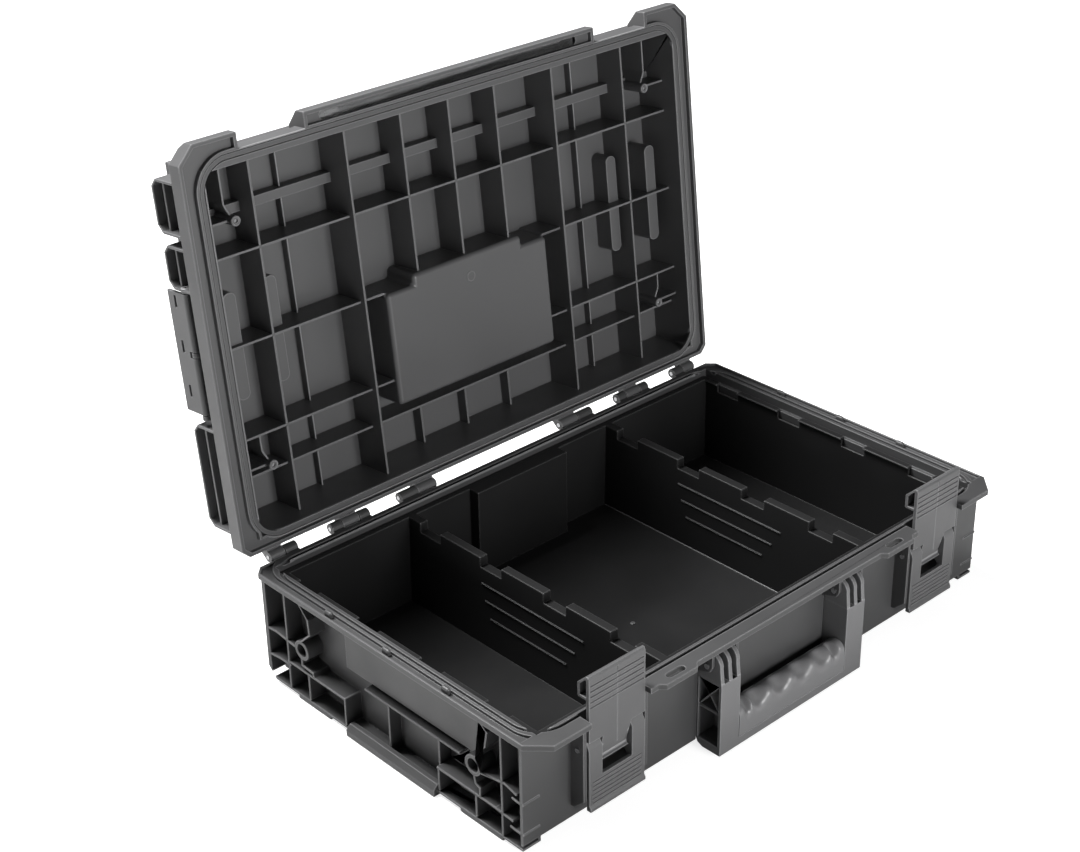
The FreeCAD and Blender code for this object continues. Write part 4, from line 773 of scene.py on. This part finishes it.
@dataclass
class Lid:
    """The ribbed lid, drawn closed and turned open about its hinge."""

    shop: Workshop
    hinge: LidHinge
    edge_radius: float = 0.5 * MM
    seal_radius: float = 0.6 * MM
    box_round: float = 4.0 * MM
    box_face: float = 121.0 * MM
    box_half_width: float = 97.3 * MM
    box_front: float = -21.7 * MM
    box_back: float = 96.5 * MM
    roof: float = 159.6 * MM
    rib: float = 1.8 * MM
    boss_place: float = 241.6 * MM
    boss_front: float = -122.2 * MM
    boss_back: float = 100.9 * MM
    boss_top: float = 120.7 * MM
    boss_collar: float = 3.9 * MM
    boss_hole: float = 1.5 * MM
    front_wall: float = -172.6 * MM
    cross_back: float = 72.2 * MM
    sweep: float = 6.0 * MM
    sweep_length: float = 16.0 * MM
    rib_top: float = 126.6 * MM
    channel_place: float = 174.0 * MM
    channel_height: float = 8.0 * MM
    channel_width: float = 1.4 * MM
    channel_back_gap: float = 17.0 * MM
    mark_place: tuple[float, float] = (0.6 * MM, -0.7 * MM)
    mark_radius: float = 5.0 * MM

    def build(self) -> None:
        """Make the lid's shell, seal, curved ribs, collars and marks."""
        shell = self.shop.casting("lid_shell", "lid_moulding", self.edge_radius,
                                  reshape=self.round_box)
        self.shop.finish_piece(shell, LID_PLASTIC_PAINTED_LIGHT, Body.LID.value, "lid_shell")
        seal = self.shop.casting("lid_gasket", "lid_seal", self.seal_radius)
        self.shop.finish_piece(seal, SEAL_RUBBER, Body.LID.value, "lid_gasket")
        for side in Side:
            ribs = [self.curved_rib(side, self.front_wall, self.boss_front),
                    self.curved_rib(side, self.cross_back, self.boss_back),
                    self.channel(side)]
            self.finish(join(ribs, f"lid_curved_ribs_{side.word}"))
            collars = [self.collar(side, y) for y in (self.boss_front, self.boss_back)]
            self.finish(join(collars, f"lid_boss_collars_{side.word}"))
        self.finish(self.box_mark())

    def finish(self, item: bpy.types.Object) -> None:
        """Turn a piece open and dress it in the shell's plastic painted lighter, which is painted light
        on the lid.
        """
        self.hinge.open_up(item)
        self.shop.finish_piece(item, LID_PLASTIC_PAINTED_LIGHT, Body.LID.value)

    def round_box(self, item: bpy.types.Object) -> None:
        """Round the face edges and the corners of the box under the lid.

        Args:
            item: the merged copy of the lid's shell.
        """
        close = self.hinge.closing
        slack = MM * 0.1

        def on_face(point: Vector) -> bool:
            """Whether a point lies on the box's face."""
            x, y, z = close @ point
            return (abs(z - self.box_face) < slack and abs(x) < self.box_half_width + slack
                    and self.box_front - slack < y < self.box_back + slack)

        def wanted(edge: bmesh.types.BMEdge) -> bool:
            """Whether a sharp edge bounds the box's face or runs off it."""
            ends = [on_face(vertex.co) for vertex in edge.verts]
            return any(ends) and is_corner(edge)

        select_edges(item, wanted)
        bpy.ops.mesh.bevel(offset=self.box_round, segments=4, affect="EDGES")
        bpy.ops.object.mode_set(mode="OBJECT")

    def curved_rib(self, side: Side, start: float, boss: float) -> bpy.types.Object:
        """A thin rib that runs along the depth and curves into a screw boss.

        Args:
            side: the lid's side.
            start: where it starts along the depth.
            boss: the boss's place along the depth.

        Returns:
            The rib.
        """
        steps = 24
        path = []
        for step in range(steps + 1):
            y = start + (boss - start) * step / steps
            near = max(0.0, 1.0 - (boss - y) / self.sweep_length)
            bend = self.sweep * (1.0 - near * near * (3.0 - 2.0 * near))
            path.append((side.value * (self.boss_place + bend), y))
        rib = add_ribbon("curved_rib", path, self.rib_top, self.roof + self.rib, self.rib)
        round_edges(rib, self.edge_radius)
        return rib

    def channel(self, side: Side) -> bpy.types.Object:
        """The low rib that runs over the whole depth beside the inner bump."""
        x = side.value * self.channel_place
        half = self.channel_width / 2
        rib = add_block("channel", (x - half, self.front_wall, self.roof - self.channel_height),
                        (x + half, -self.front_wall - self.channel_back_gap, self.roof + half))
        round_edges(rib, self.edge_radius)
        return rib

    def collar(self, side: Side, y: float) -> bpy.types.Object:
        """The raised ring round a screw boss's hole.

        Args:
            side: the lid's side.
            y: the boss's place along the depth.

        Returns:
            The ring.
        """
        x = side.value * self.boss_place
        low = self.boss_top - self.rib / 2
        ring = add_rod("collar", (x, y, low), (x, y, low + self.rib * 2), self.boss_collar, sides=28)
        select_faces(ring, lambda face: face.normal.z < -0.9)
        bpy.ops.mesh.inset(thickness=self.boss_collar - self.boss_hole)
        bpy.ops.transform.translate(value=(0.0, 0.0, self.rib * 1.6))
        bpy.ops.object.mode_set(mode="OBJECT")
        round_edges(ring, self.edge_radius, angle=50.0)
        return ring

    def box_mark(self) -> bpy.types.Object:
        """The round mark that the moulding gate left on the box."""
        x, y = self.mark_place
        radius = self.mark_radius
        disc = add_rod("box_mark", (x, y, self.box_face - radius * 0.12),
                       (x, y, self.box_face + radius), radius, sides=32)
        round_edges(disc, radius * 0.1, segments=3)
        return disc


@dataclass
class DrawLatch:
    """One draw latch: the lever with its grooves and the hook that it pulls down."""

    shop: Workshop
    side: Side
    edge_radius: float = 0.45 * MM
    front_slack: float = 0.2 * MM
    pin_margin: float = 2.0 * MM
    tongue_setback: float = 1.0 * MM

    def build(self) -> None:
        """Make the lever and the hook."""
        word = self.side.word
        lever = self.shop.casting(f"latch_lever_{word}", f"latch_lever_{word}_moulding",
                                  self.edge_radius)
        self.shop.finish_piece(lever, LATCH_PLASTIC, f"lever_{word}", f"latch_lever_{word}")
        hook = self.shop.casting(f"latch_hook_{word}", f"latch_hook_{word}_moulding",
                                 self.edge_radius, reshape=self.clear_window)
        self.shop.finish_piece(hook, LATCH_PLASTIC, f"hook_{word}", f"latch_hook_{word}")

    def clear_window(self, item: bpy.types.Object) -> None:
        """Slope the hook's tongue back to its pin, so that the lever's window stays open.

        Args:
            item: the merged copy of the hook.
        """
        low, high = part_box(f"latch_link_pin_{self.side.word}")
        pin_y = (low[1] + high[1]) / 2
        pin_z = (low[2] + high[2]) / 2
        front = min(vertex.co.y for vertex in item.data.vertices)
        for vertex in item.data.vertices:
            if vertex.co.y < front + self.front_slack and vertex.co.z < pin_z + self.pin_margin:
                vertex.co.y = pin_y - self.tongue_setback


@dataclass
class CarryHandle:
    """The folding handle: a moulded frame with a soft grip that has finger bumps."""

    shop: Workshop
    edge_radius: float = 0.5 * MM
    stations: int = 120
    ring_steps: int = 52
    bump_pitch: float = 28.0 * MM
    end_dip_place: float = 56.5 * MM
    end_dip_half: float = 7.0 * MM
    finger_dip: float = 0.95
    seam_radius: float = 0.35 * MM
    seam_half: float = 52.0 * MM
    merge_reach: float = 0.005 * MM
    outline_shares: tuple[tuple[float, float, float], ...] = (
        (0.0, 0.0, 0.0), (0.0, 0.36, 0.0), (0.0, 0.64, 0.4), (0.06, 0.84, 1.0),
        (0.24, 0.965, 1.0), (0.48, 0.98, 0.5), (0.72, 0.9, 0.0), (0.92, 0.74, 0.0),
        (1.0, 0.57, 0.0), (0.9, 0.42, 0.0), (0.64, 0.27, 0.0), (0.36, 0.13, 0.0), (0.2, 0.0, 0.0))
    dip_back_share: float = 0.2
    dip_down_share: float = 0.16

    def build(self) -> None:
        """Make the frame and the grip."""
        arms = self.shop.casting("handle_frame", "handle_moulding", self.edge_radius)
        self.shop.finish_piece(arms, ARM_PLASTIC_PAINTED_LIGHT, Body.HANDLE.value, "handle_frame")
        self.shop.finish_piece(self.grip(), GRIP_RUBBER, Body.HANDLE.value, "handle_grip")

    def dip(self, x: float) -> float:
        """How far the grip is drawn in at a place along its length.

        Args:
            x: the place in metres.

        Returns:
            The share of the full dip, from 0 to 1.
        """
        end = max(0.0, 1.0 - abs(abs(x) - self.end_dip_place) / self.end_dip_half)
        finger = 0.0
        if abs(x) < self.end_dip_place:
            finger = (1.0 - math.cos(2 * math.pi * x / self.bump_pitch)) / 2
        return max(end * end * (3.0 - 2.0 * end), self.finger_dip * finger)

    def grip_ring(self, x: float) -> list[tuple[float, float]]:
        """The grip's outline at a place along its length.

        Args:
            x: the place in metres.

        Returns:
            The outline's points as (y, z).
        """
        low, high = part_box("handle_grip")
        depth = high[1] - low[1]
        height = high[2] - low[2]
        dip = self.dip(x)
        return [(low[1] + depth * (back + self.dip_back_share * dip * follow),
                 low[2] + height * (up - self.dip_down_share * dip * follow))
                for back, up, follow in self.outline_shares]

    def grip(self) -> bpy.types.Object:
        """The soft grip, with four finger hollows and a moulding seam.

        Returns:
            The grip.
        """
        low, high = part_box("handle_grip")
        deselect_all()
        bpy.ops.mesh.primitive_grid_add(x_subdivisions=self.stations,
                                        y_subdivisions=self.ring_steps, size=1.0)
        item = bpy.context.active_object
        item.name = "handle_grip_moulding"
        for vertex in item.data.vertices:
            x = low[0] + (high[0] - low[0]) * (vertex.co.x + 0.5)
            y, z = ring_point(self.grip_ring(x), vertex.co.y + 0.5)
            vertex.co = (x, max(y, low[1]), max(z, low[2]))
        pick(item)
        bpy.ops.object.mode_set(mode="EDIT")
        bpy.ops.mesh.select_all(action="SELECT")
        bpy.ops.mesh.remove_doubles(threshold=self.merge_reach)
        bpy.ops.mesh.select_all(action="SELECT")
        bpy.ops.mesh.fill_holes(sides=0)
        bpy.ops.mesh.select_all(action="SELECT")
        bpy.ops.mesh.normals_make_consistent(inside=False)
        bpy.ops.object.mode_set(mode="OBJECT")
        self.shop.smooth(item, 50.0)
        seam_y, seam_z = ring_point(self.grip_ring(0.0), 6.0 / len(self.outline_shares))
        seam = add_rod("seam", (-self.seam_half, seam_y, seam_z), (self.seam_half, seam_y, seam_z),
                       self.seam_radius, sides=10)
        return join([item, seam], "handle_grip_moulding")


@dataclass
class StackingClip:
    """One stacking clip on an end of the lid."""

    shop: Workshop
    side: Side
    edge_radius: float = 0.45 * MM

    def build(self) -> None:
        """Make the clip."""
        word = self.side.word
        clip = self.shop.casting(f"side_clip_{word}", f"side_clip_{word}_moulding",
                                 self.edge_radius)
        self.shop.finish_piece(clip, LATCH_PLASTIC, f"clip_{word}", f"side_clip_{word}")


class Pins:
    """The steel pins, which keep the frame's own shape."""

    def __init__(self, shop: Workshop) -> None:
        """Keep the workshop.

        Args:
            shop: the workshop.
        """
        self.shop = shop

    def build(self) -> None:
        """Dress every pin in steel."""
        for node, item in frame["nodes"].items():
            if "pin" in node:
                self.shop.dress(item, PIN_STEEL)
                self.shop.smooth(item)


@dataclass(frozen=True)
class Lamp:
    """One soft square lamp: its place and size in metres, its power in watts."""

    name: str
    place: tuple[float, float, float]
    size: float
    power: float


KEY_LAMP = Lamp("key_lamp", (-0.5, 0.95, 2.3), size=0.8, power=135.0)
FRONT_LAMP = Lamp("front_lamp", (0.0, -2.2, 0.6), size=0.8, power=44.0)
LEFT_LAMP = Lamp("left_lamp", (-1.7, 0.5, 0.25), size=0.4, power=4.8)


@dataclass
class Studio:
    """Floor, light and camera."""

    azimuth: float = -42.9
    elevation: float = 27.6
    roll: float = -0.83
    distance: float = 1.7653
    aim: tuple[float, float, float] = (0.0, 0.0, 0.118)
    slide: tuple[float, float] = (0.06832, -0.09135)
    sensor: float = 36.0
    floor_half: float = 6.0
    floor_low: float = -0.0005
    floor_shade: float = 0.62
    fade_near: float = 0.35
    fade_far: float = 1.1
    glow_near: float = 0.8
    sky_strength: float = 0.05

    def build(self) -> None:
        """Set up everything round the case."""
        self.build_world()
        self.build_floor()
        self.build_lamps()
        self.build_camera()
        bpy.context.scene.view_settings.view_transform = "Standard"

    def build_world(self) -> None:
        """A soft even sky that looks white to the camera."""
        world = bpy.data.worlds.new("studio_world")
        bpy.context.scene.world = world
        world.use_nodes = True
        tree = world.node_tree
        light = tree.nodes["Background"]
        light.inputs["Color"].default_value = (1.0, 1.0, 1.0, 1.0)
        light.inputs["Strength"].default_value = self.sky_strength
        white = add_node(tree, "ShaderNodeBackground", _Color=(1.0, 1.0, 1.0, 1.0), _Strength=1.0)
        path = add_node(tree, "ShaderNodeLightPath")
        mixed = add_node(tree, "ShaderNodeMixShader")
        tree.links.new(path.outputs["Is Camera Ray"], mixed.inputs["Fac"])
        tree.links.new(light.outputs["Background"], mixed.inputs[1])
        tree.links.new(white.outputs["Background"], mixed.inputs[2])
        tree.links.new(mixed.outputs["Shader"], tree.nodes["World Output"].inputs["Surface"])

    def build_floor(self) -> None:
        """A pale floor under the case, as white as the sky where nothing shades it."""
        deselect_all()
        bpy.ops.mesh.primitive_plane_add(size=self.floor_half * 2, location=(0, 0, self.floor_low))
        floor = bpy.context.active_object
        floor.name = "floor"
        settle(floor)
        floor.data.materials.append(self.floor_material())

    def floor_material(self) -> bpy.types.Material:
        """A pale floor that fades to plain white away from the case.

        Returns:
            The material.
        """
        material = bpy.data.materials.new("pale_floor")
        material.use_nodes = True
        tree = material.node_tree
        shader = tree.nodes["Principled BSDF"]
        shader.inputs["Base Color"].default_value = (self.floor_shade,) * 3 + (1.0,)
        shader.inputs["Roughness"].default_value = 0.9
        place = add_node(tree, "ShaderNodeTexCoord")
        reach = add_node(tree, "ShaderNodeVectorMath", operation="LENGTH")
        fade = add_node(tree, "ShaderNodeMapRange", _From_Min=self.fade_near,
                        _From_Max=self.fade_far, _To_Min=self.glow_near, _To_Max=1.0)
        path = add_node(tree, "ShaderNodeLightPath")
        seen = add_node(tree, "ShaderNodeMath", operation="MAXIMUM")
        glow = add_node(tree, "ShaderNodeMath", operation="MULTIPLY")
        light = add_node(tree, "ShaderNodeEmission")
        both = add_node(tree, "ShaderNodeAddShader")
        tree.links.new(place.outputs["Object"], reach.inputs[0])
        tree.links.new(reach.outputs["Value"], fade.inputs["Value"])
        tree.links.new(path.outputs["Is Camera Ray"], seen.inputs[0])
        tree.links.new(path.outputs["Is Transmission Ray"], seen.inputs[1])
        tree.links.new(fade.outputs["Result"], glow.inputs[0])
        tree.links.new(seen.outputs["Value"], glow.inputs[1])
        tree.links.new(glow.outputs["Value"], light.inputs["Strength"])
        tree.links.new(shader.outputs["BSDF"], both.inputs[0])
        tree.links.new(light.outputs["Emission"], both.inputs[1])
        tree.links.new(both.outputs["Shader"], tree.nodes["Material Output"].inputs["Surface"])
        return material

    def add_lamp(self, lamp: Lamp) -> None:
        """Hang a lamp that points at the case.

        Args:
            lamp: the lamp.
        """
        data = bpy.data.lights.new(lamp.name, "AREA")
        data.shape = "SQUARE"
        data.size = lamp.size
        data.energy = lamp.power
        item = bpy.data.objects.new(lamp.name, data)
        item.location = lamp.place
        way = Vector(self.aim) - Vector(lamp.place)
        item.rotation_euler = way.to_track_quat("-Z", "Y").to_euler()
        bpy.context.scene.collection.objects.link(item)

    def build_lamps(self) -> None:
        """A key lamp behind the lid, a broad lamp in front and a weak one on the left."""
        for lamp in (KEY_LAMP, FRONT_LAMP, LEFT_LAMP):
            self.add_lamp(lamp)

    def build_camera(self) -> None:
        """The camera in the photograph's view."""
        a = math.radians(self.azimuth)
        e = math.radians(self.elevation)
        r = math.radians(self.roll)
        back = Vector((math.sin(a) * math.cos(e), -math.cos(a) * math.cos(e), math.sin(e)))
        level = Vector((math.cos(a), math.sin(a), 0.0))
        upright = back.cross(level)
        right = level * math.cos(r) + upright * math.sin(r)
        up = upright * math.cos(r) - level * math.sin(r)
        across, along = self.slide
        eye = Vector(self.aim) - right * across - up * along + back * self.distance
        data = bpy.data.cameras.new("photo_camera")
        data.sensor_width = self.sensor
        data.lens = FOCAL_PX / IMAGE_WIDTH_PX * self.sensor
        data.shift_x = (IMAGE_WIDTH_PX / 2 - CENTRE_X_PX) / IMAGE_WIDTH_PX
        data.shift_y = (CENTRE_Y_PX - IMAGE_HEIGHT_PX / 2) / IMAGE_WIDTH_PX
        data.clip_start = 0.05
        data.clip_end = 50.0
        camera = bpy.data.objects.new("photo_camera", data)
        turn = Matrix((right, up, back)).transposed()
        camera.matrix_world = Matrix.Translation(eye) @ turn.to_4x4()
        bpy.context.scene.collection.objects.link(camera)
        bpy.context.scene.camera = camera


def main() -> None:
    """Build the studio and the case, and report each piece."""
    logging.basicConfig(level=logging.INFO, format="%(message)s")
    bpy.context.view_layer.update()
    Studio().build()
    shop = Workshop()
    BaseShell(shop).build()
    OrganizerInsert(shop).build()
    Lid(shop, LidHinge()).build()
    for side in Side:
        DrawLatch(shop, side).build()
        StackingClip(shop, side).build()
    CarryHandle(shop).build()
    Pins(shop).build()
    LOG.info("%d pieces made", len(shop.pieces))


if __name__ == "__main__":
    main()
